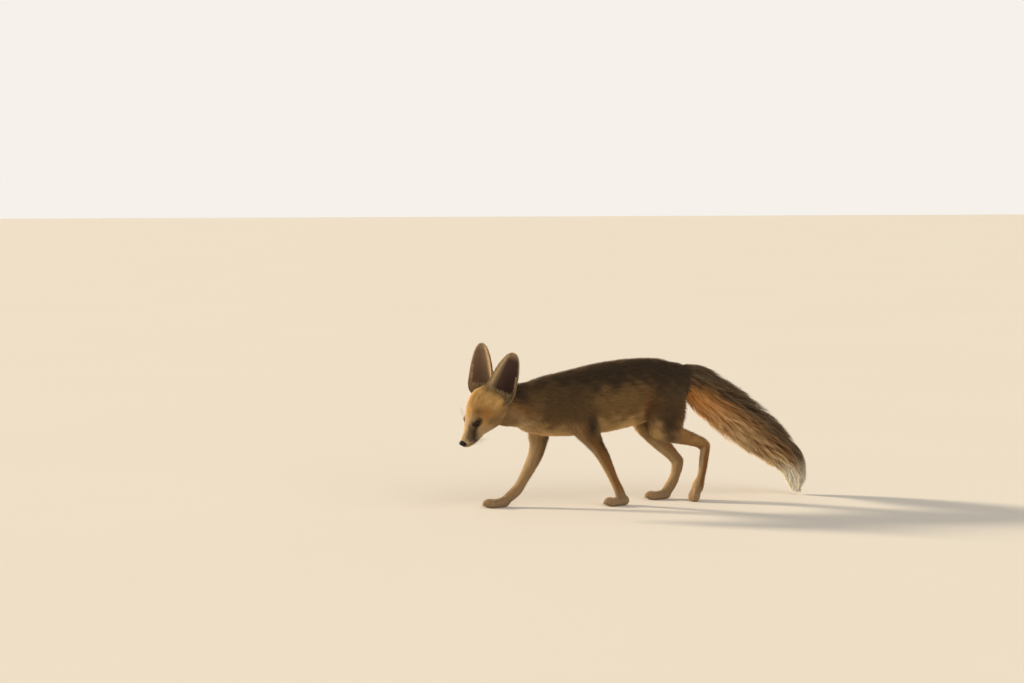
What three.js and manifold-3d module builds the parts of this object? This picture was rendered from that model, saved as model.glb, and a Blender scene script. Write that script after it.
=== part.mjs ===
// A life-size sand fox, walking with its head low, as a museum model. Millimetres, +Z up.
// The fox faces -X, its left side is -Y, and all four paws stand on the plane z = 0.
// Sizes are those of the coat's outer surface. The origin is the middle of the model's box, on the ground.
import * as THREE from "three";
import { mergeVertices } from "three/addons/utils/BufferGeometryUtils.js";
import Module from "manifold-3d";

const wasm = await Module();
wasm.setup();

// Driving dimensions
const GAP = 0.3; // clear space left between two nodes that touch
const LEFT = -1;
const RIGHT = 1;
const PAW_OUT = 24; // from the middle plane to the middle of each paw
const HEAD_YAW = 12; // degrees the head is turned to its left
const HEAD_PITCH = 46; // degrees the muzzle points below level
const HEAD_ROLL = 6; // degrees the head leans over
const NOSE_TIP = [-332, -25, 124];
const EYE_RADIUS = 6.6;
const EYE_BACK = 48; // from the nose tip to the eye's centre, along the head
const EYE_OUT = 15.5;
const EYE_UP = 12;
const LID_THICKNESS = 1.4;
const EAR_LENGTH = 104; // from the root inside the skull to the tip
const EAR_HALF_WIDTH = 25.5;
const EAR_THICKNESS = 2.2;

// Conversions between three.js geometry and solids
function solidOf(geometry) {
  const bare = new THREE.BufferGeometry();
  bare.setAttribute("position", geometry.getAttribute("position"));
  if (geometry.index) bare.setIndex(geometry.index);
  const merged = mergeVertices(bare, 1e-4);
  const triVerts = new Uint32Array(merged.index.array);
  const vertProperties = new Float32Array(merged.getAttribute("position").array);
  const solid = new wasm.Manifold(new wasm.Mesh({ numProp: 3, vertProperties, triVerts }));
  if (solid.volume() > 0) return solid;
  for (let i = 0; i < triVerts.length; i += 3) {
    [triVerts[i + 1], triVerts[i + 2]] = [triVerts[i + 2], triVerts[i + 1]];
  }
  return new wasm.Manifold(new wasm.Mesh({ numProp: 3, vertProperties, triVerts }));
}

function geometryOf(solid) {
  const mesh = solid.getMesh();
  const positions = new Float32Array(mesh.numVert * 3);
  for (let i = 0; i < mesh.numVert; i++) {
    positions.set(mesh.vertProperties.subarray(i * mesh.numProp, i * mesh.numProp + 3), i * 3);
  }
  const geometry = new THREE.BufferGeometry();
  geometry.setAttribute("position", new THREE.BufferAttribute(positions, 3));
  geometry.setIndex(new THREE.BufferAttribute(new Uint32Array(mesh.triVerts), 1));
  geometry.computeVertexNormals();
  return geometry;
}

const joined = (solids) => solids.reduce((whole, piece) => whole.add(piece));
const largest = (solid) => solid.decompose().sort((a, b) => b.volume() - a.volume())[0];
const carved = (solid, ...others) => largest(others.reduce((left, other) => left.subtract(other), solid));
const moved = (solid, matrix) => solidOf(geometryOf(solid).applyMatrix4(matrix));

// Cuts away all that lies on the back of a plane
const BLOCK = 2000; // more than the whole model
function cutAt(solid, point, normal) {
  const block = new THREE.BoxGeometry(BLOCK, BLOCK, BLOCK);
  block.translate(0, 0, -BLOCK / 2);
  block.applyQuaternion(new THREE.Quaternion().setFromUnitVectors(new THREE.Vector3(0, 0, 1), normal));
  block.translate(...point.toArray());
  return solid.subtract(solidOf(block));
}

function ellipsoid([x, y, z], [rx, ry, rz], around = 16, up = 10) {
  const geometry = new THREE.SphereGeometry(1, around, up);
  geometry.scale(rx, ry, rz);
  geometry.translate(x, y, z);
  return solidOf(geometry);
}

// A closed tube through stations [x, y, z, half width, depth above, depth below].
// Width is measured across the middle plane. The result takes a growth, added all round.
function loft(stations, { sides = 16, perStation = 2, capRings = 2, cap = 0.7 } = {}) {
  const path = new THREE.CatmullRomCurve3(stations.map(([x, y, z]) => new THREE.Vector3(x, y, z)));
  path.curveType = "catmullrom";
  const sizes = new THREE.CatmullRomCurve3(stations.map(([, , , w, up, down]) => new THREE.Vector3(w, up, down)));
  sizes.curveType = "catmullrom";
  const across = new THREE.Vector3(0, 1, 0);

  // The point at a share of the radius, in a direction around the tube
  const pointAt = (t, angle, share = 1, grow = 0, shift = 0) => {
    const tangent = path.getTangent(t);
    const side = across.clone().addScaledVector(tangent, -across.dot(tangent)).normalize();
    const normal = tangent.clone().cross(side);
    const size = sizes.getPoint(t).addScalar(grow);
    const depth = Math.sin(angle) > 0 ? size.y : size.z;
    return path
      .getPoint(t)
      .addScaledVector(tangent, shift)
      .addScaledVector(side, Math.cos(angle) * size.x * share)
      .addScaledVector(normal, Math.sin(angle) * depth * share);
  };
  const build = (grow = 0, share = () => 1) => {
    const rings = [];
    const addRing = (t, shrink, shift) => {
      const angles = Array.from({ length: sides }, (_, i) => ((i + 0.5) / sides) * Math.PI * 2);
      rings.push(angles.map((angle) => pointAt(t, angle, share(t) * shrink, grow, shift)));
    };
    const capLength = (t) => {
      const size = sizes.getPoint(t);
      return ((size.x + size.y + size.z) / 3) * cap * share(t) + grow;
    };
    const count = (stations.length - 1) * perStation;
    const start = capLength(0);
    const end = capLength(1);
    for (let k = capRings; k > 0; k--) {
      const angle = (k / (capRings + 1)) * (Math.PI / 2);
      addRing(0, Math.cos(angle), -Math.sin(angle) * start);
    }
    for (let i = 0; i <= count; i++) addRing(i / count, 1, 0);
    for (let k = 1; k <= capRings; k++) {
      const angle = (k / (capRings + 1)) * (Math.PI / 2);
      addRing(1, Math.cos(angle), Math.sin(angle) * end);
    }
    const first = path.getPoint(0).addScaledVector(path.getTangent(0), -start);
    const last = path.getPoint(1).addScaledVector(path.getTangent(1), end);
    return closedRings(rings, first, last);
  };
  build.pointAt = pointAt;
  return build;
}

function closedRings(rings, first, last) {
  const sides = rings[0].length;
  const points = [first, ...rings.flat(), last];
  const faces = [];
  const at = (ring, i) => 1 + ring * sides + (i % sides);
  for (let i = 0; i < sides; i++) faces.push(0, at(0, i + 1), at(0, i));
  for (let ring = 0; ring < rings.length - 1; ring++) {
    for (let i = 0; i < sides; i++) {
      faces.push(at(ring, i), at(ring, i + 1), at(ring + 1, i + 1));
      faces.push(at(ring, i), at(ring + 1, i + 1), at(ring + 1, i));
    }
  }
  const lastRing = rings.length - 1;
  for (let i = 0; i < sides; i++) faces.push(points.length - 1, at(lastRing, i), at(lastRing, i + 1));
  const geometry = new THREE.BufferGeometry().setFromPoints(points);
  geometry.setIndex(faces);
  return solidOf(geometry);
}

// Sections that are named by their top and bottom, with the widest level between them
const section = (x, y, top, bottom, halfWidth, level = 0.52) => {
  const z = bottom + (top - bottom) * level;
  return [x, y, z, halfWidth, top - z, z - bottom];
};

// Trunk, from the chest to the rump
const torsoShape = loft(
  [
    section(-196, 0, 225, 145, 25),
    section(-176, 0, 238.5, 133, 34),
    section(-148, 0, 245, 129.5, 40),
    section(-112, 0, 251.5, 129, 43),
    section(-72, 0, 260, 131, 44),
    section(-32, 0, 266.5, 136, 43.5),
    section(10, 0, 270, 145, 42),
    section(50, 0, 270.5, 156, 40.5),
    section(82, 0, 267.5, 171, 36),
    section(104, 0, 262, 190, 27),
  ],
  { sides: 20, perStation: 2, cap: 0.5 },
);

// Neck, from the back of the head to the chest
const neckShape = loft(
  [
    section(-262, -12, 222, 158, 24),
    section(-240, -8, 228, 151, 29),
    section(-215, -4, 230.5, 148, 32),
    section(-192, -1, 235, 138, 35),
    section(-160, 0, 241, 135, 37),
  ],
  { sides: 20, perStation: 2, cap: 0.5 },
);
const trunkGrown = torsoShape(GAP).add(neckShape(GAP));

// Head, in its own frame: X runs from the nose tip backwards, Y to the right, Z up
const headMatrix = new THREE.Matrix4().compose(
  new THREE.Vector3(...NOSE_TIP),
  new THREE.Quaternion().setFromEuler(
    new THREE.Euler(
      THREE.MathUtils.degToRad(HEAD_ROLL),
      THREE.MathUtils.degToRad(-HEAD_PITCH),
      THREE.MathUtils.degToRad(HEAD_YAW),
      "ZYX",
    ),
  ),
  new THREE.Vector3(1, 1, 1),
);
const headStation = (x, level, top, bottom, halfWidth) => [x, 0, level, halfWidth, top - level, level - bottom];
const skullShape = loft(
  [
    headStation(5, -3, 3, -11, 7),
    headStation(10, -4, 6, -17, 9),
    headStation(18, -5, 9.5, -21.5, 10.5),
    headStation(27, -5, 13, -24, 12.5),
    headStation(36, -4, 17, -24.5, 16),
    headStation(43, -2, 21, -25, 19.5),
    headStation(51, -1, 28, -27, 24),
    headStation(61, 0, 35, -30.5, 29),
    headStation(73, 1, 41.5, -34, 33),
    headStation(87, 2, 45.5, -35, 34),
    headStation(101, 3, 46.5, -29, 31),
    headStation(114, 5, 40, -18, 24),
  ],
  { sides: 18, perStation: 2, cap: 0.45 },
);

// A thin sheet that runs along the mouth from the chin and turns down behind it, to part the lower jaw
const MOUTH_GAP = 0.8;
const MOUTH_LINE = [
  [-6, -7.5],
  [8, -9.5],
  [17, -13.5],
  [27, -15.5],
  [37, -13.5],
  [43, -17],
  [47, -40],
];
function mouthSheet() {
  const upper = MOUTH_LINE.map(([x, z]) => new THREE.Vector2(x, z + MOUTH_GAP / 2));
  const lower = MOUTH_LINE.map(([x, z]) => new THREE.Vector2(x - MOUTH_GAP / 2, z - MOUTH_GAP / 2)).reverse();
  const shape = new THREE.Shape([...upper, ...lower]);
  const halfWidth = 40;
  const geometry = new THREE.ExtrudeGeometry(shape, { depth: 2 * halfWidth, bevelEnabled: false });
  geometry.translate(0, 0, -halfWidth);
  geometry.rotateX(Math.PI / 2);
  return solidOf(geometry);
}

// The edge of the upper lip, a thin roll just above the line of the mouth
const LIP_RADIUS = 1.4;
const LIP_LINE = [
  [7, 5.2, -8],
  [17, 9, -12],
  [27, 10.8, -14],
  [37, 14.8, -12],
];
const lipShape = (side) =>
  loft(
    LIP_LINE.map(([x, out, z]) => [x, side * out, z, LIP_RADIUS, LIP_RADIUS, LIP_RADIUS]),
    { sides: 6, perStation: 1, capRings: 1 },
  )();

// The leather of the nose, with its two nostrils
const noseShape = (grow = 0) => ellipsoid([5.5, 0, -0.5], [5.7 + grow, 6.2 + grow, 5 + grow], 14, 8);
const nostrils = [LEFT, RIGHT].map((side) => ellipsoid([0.8, side * 2.7, -0.3], [2.4, 1.3, 1.5], 8, 6));

const eyeCentre = (side) => [EYE_BACK, side * EYE_OUT, EYE_UP];
function eyeOpening(side) {
  const geometry = new THREE.SphereGeometry(1, 14, 8);
  geometry.scale(6.4, 5, 4.3);
  geometry.rotateY(THREE.MathUtils.degToRad(-20));
  geometry.rotateZ(THREE.MathUtils.degToRad(side * 43));
  const [x, y, z] = eyeCentre(side);
  geometry.translate(x - 4.4, y + side * 5, z + 1.2);
  return solidOf(geometry);
}

const lids = [LEFT, RIGHT].map((side) => {
  const radius = EYE_RADIUS + LID_THICKNESS;
  return ellipsoid(eyeCentre(side), [radius, radius, radius], 14, 8);
});
const sockets = [LEFT, RIGHT].map((side) => {
  const radius = EYE_RADIUS + GAP;
  return ellipsoid(eyeCentre(side), [radius, radius, radius], 14, 8);
});
const headWhole = joined([skullShape(), ...lids, lipShape(LEFT), lipShape(RIGHT)]).subtract(noseShape(GAP));
const headOpened = [...sockets, eyeOpening(LEFT), eyeOpening(RIGHT)].reduce(
  (head, cut) => head.subtract(cut),
  headWhole,
);
const [headLocal, jawLocal] = headOpened
  .subtract(mouthSheet())
  .decompose()
  .sort((a, b) => b.volume() - a.volume());
const headGrown = moved(joined([skullShape(GAP), ...lids]), headMatrix);

// Ears: each is a half-open cup along its own axis, seen from the front of the opening
const EAR_STEPS = 14;
const EAR_ACROSS = 10;
const earWidth = (v) => EAR_HALF_WIDTH * Math.sqrt(1 - Math.pow(v, 2.2)) * (0.72 + 0.28 * Math.min(1, v / 0.3));
const earDepth = (v) => 3.2 + 18 * Math.pow(1 - v, 1.3);
const earWrap = (v) => THREE.MathUtils.degToRad(88 + 40 * Math.pow(1 - v, 3));
function ear(root, tip, facing) {
  const base = new THREE.Vector3(...root);
  const axis = new THREE.Vector3(...tip).sub(base).normalize();
  const open = new THREE.Vector3(...facing);
  open.addScaledVector(axis, -open.dot(axis)).normalize();
  const across = new THREE.Vector3().crossVectors(axis, open);
  const rings = [];
  for (let step = 0; step <= EAR_STEPS; step++) {
    const v = step / EAR_STEPS;
    const reach = 0.985 * Math.sin((v * Math.PI) / 2) * 0.4 + 0.985 * v * 0.6;
    const centre = base.clone().addScaledVector(axis, EAR_LENGTH * reach);
    const shell = (inset) => {
      const points = [];
      for (let i = 0; i <= EAR_ACROSS; i++) {
        const angle = earWrap(reach) * ((2 * i) / EAR_ACROSS - 1);
        points.push(
          centre
            .clone()
            .addScaledVector(across, Math.sin(angle) * (earWidth(reach) - inset))
            .addScaledVector(open, -Math.cos(angle) * (earDepth(reach) - inset)),
        );
      }
      return points;
    };
    rings.push([...shell(0), ...shell(EAR_THICKNESS).reverse()]);
  }
  const points = rings.flat();
  const count = rings[0].length;
  const faces = [];
  const at = (ring, i) => ring * count + (i % count);
  for (let ring = 0; ring < rings.length - 1; ring++) {
    for (let i = 0; i < count; i++) {
      faces.push(at(ring, i), at(ring, i + 1), at(ring + 1, i + 1));
      faces.push(at(ring, i), at(ring + 1, i + 1), at(ring + 1, i));
    }
  }
  const lastRing = rings.length - 1;
  for (let i = 0; i < EAR_ACROSS; i++) {
    const [outer, next] = [i, i + 1];
    const [inner, before] = [count - 1 - i, count - 2 - i];
    faces.push(at(0, outer), at(0, inner), at(0, before), at(0, outer), at(0, before), at(0, next));
    faces.push(at(lastRing, outer), at(lastRing, next), at(lastRing, before));
    faces.push(at(lastRing, outer), at(lastRing, before), at(lastRing, inner));
  }
  const geometry = new THREE.BufferGeometry().setFromPoints(points);
  geometry.setIndex(faces);
  return solidOf(geometry);
}
const EARS = {
  ear_left: ear([88, -24, 8], [182, -36, 56], [-0.38, -0.82, 0.63]),
  ear_right: ear([93, 24, 11], [173, 36, 79], [-0.6, -0.4, 0.8]),
};

// Legs, each a chain of lofts down from the trunk. Depth above is behind the bone and depth below is before it.
const limb = (side, rows) => rows.map(([x, out, z, width, behind, before]) => [x, side * out, z, width, behind, before]);
const round = (x, out, z, width, depth) => [x, out, z, width, depth, depth];

// A paw whose toes point along -X, with its sole on z = 0 and its ankle above the origin
const TOE_SPREAD = [-9.3, -3.3, 3.3, 9.3];
const TOE_REACH = [36, 41, 41, 36];
function paw(matrix) {
  const palm = loft(
    [
      [2, 0, 10, 8.5, 11, 9],
      [-9, 0, 9, 11, 10.4, 9],
      [-20, 0, 7.5, 12, 9, 7.5],
    ],
    { sides: 10, perStation: 1, capRings: 1 },
  )();
  const toes = TOE_SPREAD.map((out, i) =>
    loft(
      [
        [-14, out * 0.8, 8, 4.4, 9, 7],
        [-26, out, 8, 4.6, 9.2, 6.8],
        [-TOE_REACH[i] + 4, out * 1.05, 6.2, 4.2, 7.3, 5.4],
      ],
      { sides: 6, perStation: 1, capRings: 1 },
    )(),
  );
  const claws = TOE_SPREAD.map((out, i) => {
    const cone = new THREE.ConeGeometry(1.5, 9, 5);
    cone.rotateZ(THREE.MathUtils.degToRad(116));
    cone.translate(-TOE_REACH[i] - 0.5, out * 1.05, 5.4);
    return solidOf(cone);
  });
  return cutAt(moved(joined([palm, ...toes, ...claws]), matrix), new THREE.Vector3(), new THREE.Vector3(0, 0, 1));
}
const pawAt = (x, side, { lift = 0, tilt = 0, toeOut = 3, out = PAW_OUT } = {}) =>
  new THREE.Matrix4().compose(
    new THREE.Vector3(x, side * out, lift),
    new THREE.Quaternion().setFromEuler(
      new THREE.Euler(0, THREE.MathUtils.degToRad(tilt), THREE.MathUtils.degToRad(-side * toeOut), "ZYX"),
    ),
    new THREE.Vector3(1, 1, 1),
  );

// Each leg lists its lofts from the trunk down, then its paw
const LEGS = {
  foreleg_left: {
    parts: {
      upper: limb(LEFT, [
        [-122, 25, 214, 13, 26, 24],
        [-116, 29, 182, 15, 33, 30],
        [-100, 30, 155, 15, 30, 27],
        [-84, 28, 131, 13.5, 22, 21],
        [-71, 26, 112, 12.5, 16.5, 16],
      ]),
      forearm: limb(LEFT, [
        round(-72, 26, 114, 12, 15.5),
        round(-59, 25, 96, 11.3, 14.5),
        round(-47, 24.5, 72, 10, 12),
        round(-35, 24, 47, 9.2, 10.4),
        round(-26, 24, 30, 9.4, 10),
        round(-21, 24, 16, 9.6, 9.6),
      ]),
    },
    paw: paw(pawAt(-13, LEFT)),
  },
  foreleg_right: {
    parts: {
      upper: limb(RIGHT, [
        [-132, 25, 214, 13, 26, 24],
        [-142, 29, 186, 15, 32, 30],
        [-158, 29, 160, 15, 27, 27],
        [-164, 27, 136, 13.5, 22, 22],
        [-165, 25.5, 114, 12.5, 19, 19],
      ]),
      forearm: limb(RIGHT, [
        round(-165, 25.5, 118, 12, 18),
        round(-170, 25, 97, 11.5, 16.5),
        round(-181, 24.5, 74, 10.5, 14),
        round(-194, 24, 52, 9.8, 12),
        round(-205, 24, 34, 9.6, 11),
        round(-216, 24, 23, 9.8, 10.5),
        round(-228, 24, 14, 10, 9),
      ]),
    },
    paw: paw(pawAt(-230, RIGHT)),
  },
  hindleg_left: {
    parts: {
      thigh: limb(LEFT, [
        [76, 20, 240, 14, 22, 24],
        [66, 27, 208, 15, 42, 42],
        [62, 29.5, 180, 15.5, 47, 45],
        [62, 29, 156, 14.5, 46, 40],
        [64, 27, 138, 12.5, 38, 32],
      ]),
      shank: limb(LEFT, [
        round(48, 27, 142, 13, 22),
        [78, 26.5, 128, 12.5, 22, 18],
        [104, 26, 120, 11, 18.5, 14],
        [128, 25, 114, 10, 15, 13],
        [145, 24.5, 107, 9.5, 13, 12],
      ]),
      foot: limb(LEFT, [
        round(149, 24.5, 108, 9.3, 10.5),
        round(145, 24, 84, 8.8, 11),
        round(142, 24, 60, 8.6, 10),
        round(138, 23, 38, 8.8, 9.6),
        round(135, 22, 22, 9.2, 9),
      ]),
    },
    paw: paw(pawAt(142, LEFT, { lift: 33, tilt: -72, out: 21 })),
  },
  hindleg_right: {
    parts: {
      thigh: limb(RIGHT, [
        [74, 20, 240, 14, 22, 24],
        [60, 27, 208, 15, 42, 40],
        [50, 29.5, 182, 15.5, 42, 40],
        [44, 29, 160, 14.5, 34, 32],
        [44, 27, 144, 12.5, 26, 26],
      ]),
      shank: limb(RIGHT, [
        round(42, 27, 148, 13, 23),
        round(62, 26.5, 124, 12.5, 21),
        round(82, 26, 103, 11, 17.5),
        round(98, 25, 87, 10, 14.5),
        round(110, 24.5, 73, 9.5, 13),
      ]),
      foot: limb(RIGHT, [
        round(114, 24.5, 76, 9.2, 13),
        round(111, 24, 61, 9, 13.5),
        round(107, 24, 44, 8.7, 11.8),
        round(99, 24, 28, 9, 11),
        round(91, 24, 16, 9.5, 10.5),
      ]),
    },
    paw: paw(pawAt(90, RIGHT)),
  },
};

// Tail, a wide brush that hangs from the rump and is held off the ground. This is its outer shape.
const brushShape = loft(
  [
    [104, 0, 236, 16, 24, 23],
    [134, 0, 220, 26, 40, 35],
    [164, 0, 195, 34, 47.5, 43],
    [195, 0, 173, 39, 50, 48],
    [225, 0, 151, 40, 50, 49],
    [259, 0, 126, 38, 48, 47],
    [291, 0, 103, 34, 43, 42],
    [319, 0, 80, 29, 36, 36],
    [337, 0, 58, 24, 30, 29],
    [345, 0, 36, 17, 23, 22],
    [346, 0, 14, 5, 8, 7],
  ],
  { sides: 14, perStation: 1, cap: 0.6 },
);

// Its hair: long flat locks that overlap from the root to the tip, over a dense core
const CORE_SHARE_AT_ROOT = 0.97;
const CORE_SHARE = 0.66;
const LOCK_ROWS = 7;
const LOCKS_IN_ROW = 6;
const LOCK_SPAN = 0.29; // of the tail's length
const LOCK_HALF_ANGLE = 0.66;
const LOCK_THICKNESS = 0.2; // of the brush's radius
const coreShare = (t) => THREE.MathUtils.lerp(CORE_SHARE_AT_ROOT, CORE_SHARE, THREE.MathUtils.smoothstep(t, 0, 0.34));
let seed = 4711;
function random(low, high) {
  seed = (seed * 16807) % 2147483647;
  return low + (high - low) * (seed / 2147483647);
}
function lock(start, angle) {
  const span = LOCK_SPAN * random(0.9, 1.1);
  const reach = random(0.99, 1.04);
  const sway = random(-0.12, 0.12);
  const steps = 4;
  const rings = [];
  for (let i = 0; i < steps; i++) {
    const s = i / steps;
    const t = Math.min(0.995, start + span * s);
    const share = THREE.MathUtils.lerp(coreShare(t) - 0.12, reach, Math.pow(s, 0.55));
    const around = angle + sway * s * s;
    const spread = LOCK_HALF_ANGLE * (0.8 + 0.6 * s - 1.2 * s * s);
    const thick = LOCK_THICKNESS * (1 - 0.7 * s);
    rings.push([
      brushShape.pointAt(t, around - spread, share - thick * 0.4),
      brushShape.pointAt(t, around, share - thick),
      brushShape.pointAt(t, around + spread, share - thick * 0.4),
      brushShape.pointAt(t, around, share),
    ]);
  }
  const first = brushShape.pointAt(Math.max(0, start - 0.02), angle, coreShare(start) - 0.22);
  const last = brushShape.pointAt(Math.min(1, start + span), angle + sway, reach * 0.97);
  return closedRings(rings, first, last);
}
function tailHair() {
  const locks = [];
  for (let row = 0; row < LOCK_ROWS; row++) {
    for (let i = 0; i < LOCKS_IN_ROW; i++) {
      const turn = (i + (row % 2) / 2 + random(-0.06, 0.06)) / LOCKS_IN_ROW;
      locks.push(lock(0.06 + row * 0.112 + random(-0.012, 0.012), turn * Math.PI * 2));
    }
  }
  return joined([brushShape(0, coreShare), ...locks]);
}
// Where the tail is parted: [point on its middle line, direction along the tail]
const TAIL_CUTS = [
  [new THREE.Vector3(146, 0, 210), new THREE.Vector3(0.78, 0, -0.62).normalize()],
  [new THREE.Vector3(319, 0, 80), new THREE.Vector3(0.68, 0, -0.73).normalize()],
];
const behind = (solid, [point, normal]) => cutAt(solid, point.clone().addScaledVector(normal, GAP / 2), normal);
const before = (solid, [point, normal]) => behind(solid, [point, normal.clone().negate()]);

// Assembly
const MATERIALS = {
  coat: new THREE.MeshStandardMaterial({ color: 0xa98a5e, roughness: 0.9, metalness: 0 }),
  pale_coat: new THREE.MeshStandardMaterial({ color: 0xcdb894, roughness: 0.9, metalness: 0 }),
  tail_coat: new THREE.MeshStandardMaterial({ color: 0x9a7648, roughness: 0.9, metalness: 0 }),
  tip_coat: new THREE.MeshStandardMaterial({ color: 0xe4d8c2, roughness: 0.9, metalness: 0 }),
  nose: new THREE.MeshStandardMaterial({ color: 0x1a1614, roughness: 0.45, metalness: 0 }),
  eye: new THREE.MeshStandardMaterial({ color: 0x1d1009, roughness: 0.1, metalness: 0 }),
};
const model = new THREE.Group();
function addNode(name, solid, material) {
  const mesh = new THREE.Mesh(geometryOf(solid), MATERIALS[material].clone());
  mesh.name = name;
  model.add(mesh);
}

const NECK_CUT = [new THREE.Vector3(-192, 0, 190), new THREE.Vector3(0.97, 0, 0.24).normalize()];
const trunk = torsoShape().add(neckShape());
addNode("torso", largest(behind(trunk, NECK_CUT)), "coat");
addNode("neck", carved(before(trunk, NECK_CUT), headGrown), "coat");
addNode("head", moved(headLocal, headMatrix), "coat");
addNode("lower_jaw", moved(jawLocal, headMatrix), "pale_coat");
addNode("nose", moved(carved(noseShape(), ...nostrils), headMatrix), "nose");
for (const [name, side] of [
  ["eye_left", LEFT],
  ["eye_right", RIGHT],
]) {
  addNode(name, moved(ellipsoid(eyeCentre(side), [EYE_RADIUS, EYE_RADIUS, EYE_RADIUS], 14, 8), headMatrix), "eye");
}
for (const [name, solid] of Object.entries(EARS)) {
  addNode(name, carved(moved(solid, headMatrix), headGrown, trunkGrown), "coat");
}

const thighsGrown = [];
for (const [leg, { parts, paw: foot }] of Object.entries(LEGS)) {
  const above = [trunkGrown];
  for (const [part, rows] of Object.entries(parts)) {
    const shape = loft(rows, { sides: 12, perStation: 2, capRings: 1 });
    addNode(leg + "_" + part, carved(shape(), ...above), "coat");
    above.push(shape(GAP));
    if (part === "thigh") thighsGrown.push(shape(GAP));
  }
  addNode(leg + "_paw", carved(foot, ...above), "pale_coat");
}

const tail = carved(tailHair(), trunkGrown, ...thighsGrown);
addNode("tail_base", largest(before(tail, TAIL_CUTS[0])), "coat");
addNode("tail_brush", largest(before(behind(tail, TAIL_CUTS[0]), TAIL_CUTS[1])), "tail_coat");
addNode("tail_tip", largest(behind(tail, TAIL_CUTS[1])), "tip_coat");

const box = new THREE.Box3().setFromObject(model);
const centre = box.getCenter(new THREE.Vector3());
model.position.set(-centre.x, -centre.y, -box.min.z);

export default model;
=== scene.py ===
"""A life-size sand fox, walking with its head low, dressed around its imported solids.

One skin is shaped from the solids of the flesh and lies inside them by the depth of the coat. Tufts of
solid hair grow from it to the solids' outline. The eyes, lids, nose, ears, claws and whiskers are pieces of
their own. Lengths inside the functions are millimetres in the design frame: the fox faces -X, its left side
is -Y, +Z is up and the floor is z = 0.
"""

import math

import bmesh
import bpy
import numpy as np
import openvdb
from bpy.props import FloatProperty, FloatVectorProperty, IntProperty, PointerProperty
from mathutils import Euler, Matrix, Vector


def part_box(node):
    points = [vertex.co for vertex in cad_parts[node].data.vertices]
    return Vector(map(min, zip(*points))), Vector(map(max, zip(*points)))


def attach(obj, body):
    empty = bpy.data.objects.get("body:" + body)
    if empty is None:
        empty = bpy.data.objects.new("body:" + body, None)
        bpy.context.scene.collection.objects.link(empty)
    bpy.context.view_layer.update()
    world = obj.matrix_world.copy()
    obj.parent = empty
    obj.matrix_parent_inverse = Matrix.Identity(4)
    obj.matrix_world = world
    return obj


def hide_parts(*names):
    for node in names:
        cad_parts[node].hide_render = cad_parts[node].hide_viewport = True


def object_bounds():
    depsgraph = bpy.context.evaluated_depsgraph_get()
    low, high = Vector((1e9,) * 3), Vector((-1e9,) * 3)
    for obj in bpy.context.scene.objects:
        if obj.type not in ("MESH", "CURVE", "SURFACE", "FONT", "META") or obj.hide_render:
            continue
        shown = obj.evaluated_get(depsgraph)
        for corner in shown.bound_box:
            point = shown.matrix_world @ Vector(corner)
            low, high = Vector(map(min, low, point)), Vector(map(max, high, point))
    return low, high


bl_info = {
    "name": "Sand fox",
    "version": (1, 0, 0),
    "blender": (4, 5, 0),
    "location": "3D Viewport > Sidebar > Sand fox",
    "description": "Builds a life-size sand fox with its coat around the packed solids",
    "category": "Object",
}

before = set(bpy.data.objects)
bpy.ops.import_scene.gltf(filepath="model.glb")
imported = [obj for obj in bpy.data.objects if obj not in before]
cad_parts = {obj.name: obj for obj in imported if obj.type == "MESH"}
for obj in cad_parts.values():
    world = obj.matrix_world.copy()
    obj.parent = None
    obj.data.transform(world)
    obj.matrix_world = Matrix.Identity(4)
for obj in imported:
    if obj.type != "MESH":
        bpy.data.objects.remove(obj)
CAD_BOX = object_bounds()

LEFT, RIGHT = -1, 1
SIDES = {"left": LEFT, "right": RIGHT}
FLESH = [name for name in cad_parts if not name.startswith(("ear", "eye", "nose", "tail"))]

# Head frame: X runs from the nose tip backwards, Y to the right, Z up
NOSE_TIP = np.array([-332.0, -25.0, 124.0])
HEAD_TURN = np.array(Euler([math.radians(a) for a in (6, -46, 12)], "XYZ").to_matrix())
EYE_PLACE = np.array([48.0, 15.5, 12.0])
EYE_RADIUS = 6.6


def head_point(x, y, z):
    """A point of the head frame in the design frame."""
    return NOSE_TIP + HEAD_TURN @ np.array([x, y, z], float)


def head_local(points):
    """Points of the design frame in the head frame."""
    return (points - NOSE_TIP) @ HEAD_TURN


def eye_centre(side):
    """The middle of an eyeball, in the head frame."""
    return EYE_PLACE * (1, side, 1)


EYE_BOX = np.array(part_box("eye_left"))
SHIFT = EYE_BOX.mean(0) * 1000 - head_point(*eye_centre(LEFT))


def to_row(points):
    """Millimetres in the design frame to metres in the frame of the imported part."""
    return (np.asarray(points) + SHIFT) / 1000


# ---- Numbers and curves


def smooth(value, low, high):
    """0 up to low, 1 from high on, eased between."""
    share = np.clip((value - low) / (high - low), 0, 1)
    return share * share * (3 - 2 * share)


def between(a, b, share):
    """From number a to number b by a share."""
    return a + (b - a) * share


def mix(a, b, share):
    """From a to b, colours or vectors, by a share that may be one value for each row."""
    share = np.asarray(share)
    return a + (b - a) * (share[:, None] if share.ndim == 1 else share)


def unit(vectors):
    """Vectors at length 1."""
    return vectors / np.maximum(np.linalg.norm(vectors, axis=-1, keepdims=True), 1e-9)


def across(vectors, normals):
    """The part of vectors that lies at right angles to the unit normals, at length 1."""
    return unit(vectors - normals * np.sum(vectors * normals, axis=-1, keepdims=True))


def wave(points, size, seed, count=7):
    """A smooth uneven value from about -1 to 1 that changes over a given size."""
    draw = np.random.default_rng(seed)
    turns = unit(draw.normal(size=(count, 3))) * draw.uniform(0.6, 1.7, (count, 1)) * 2 * math.pi / size
    return np.sin(points @ turns.T + draw.uniform(0, 6.28, count)).sum(1) / math.sqrt(count)


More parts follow.
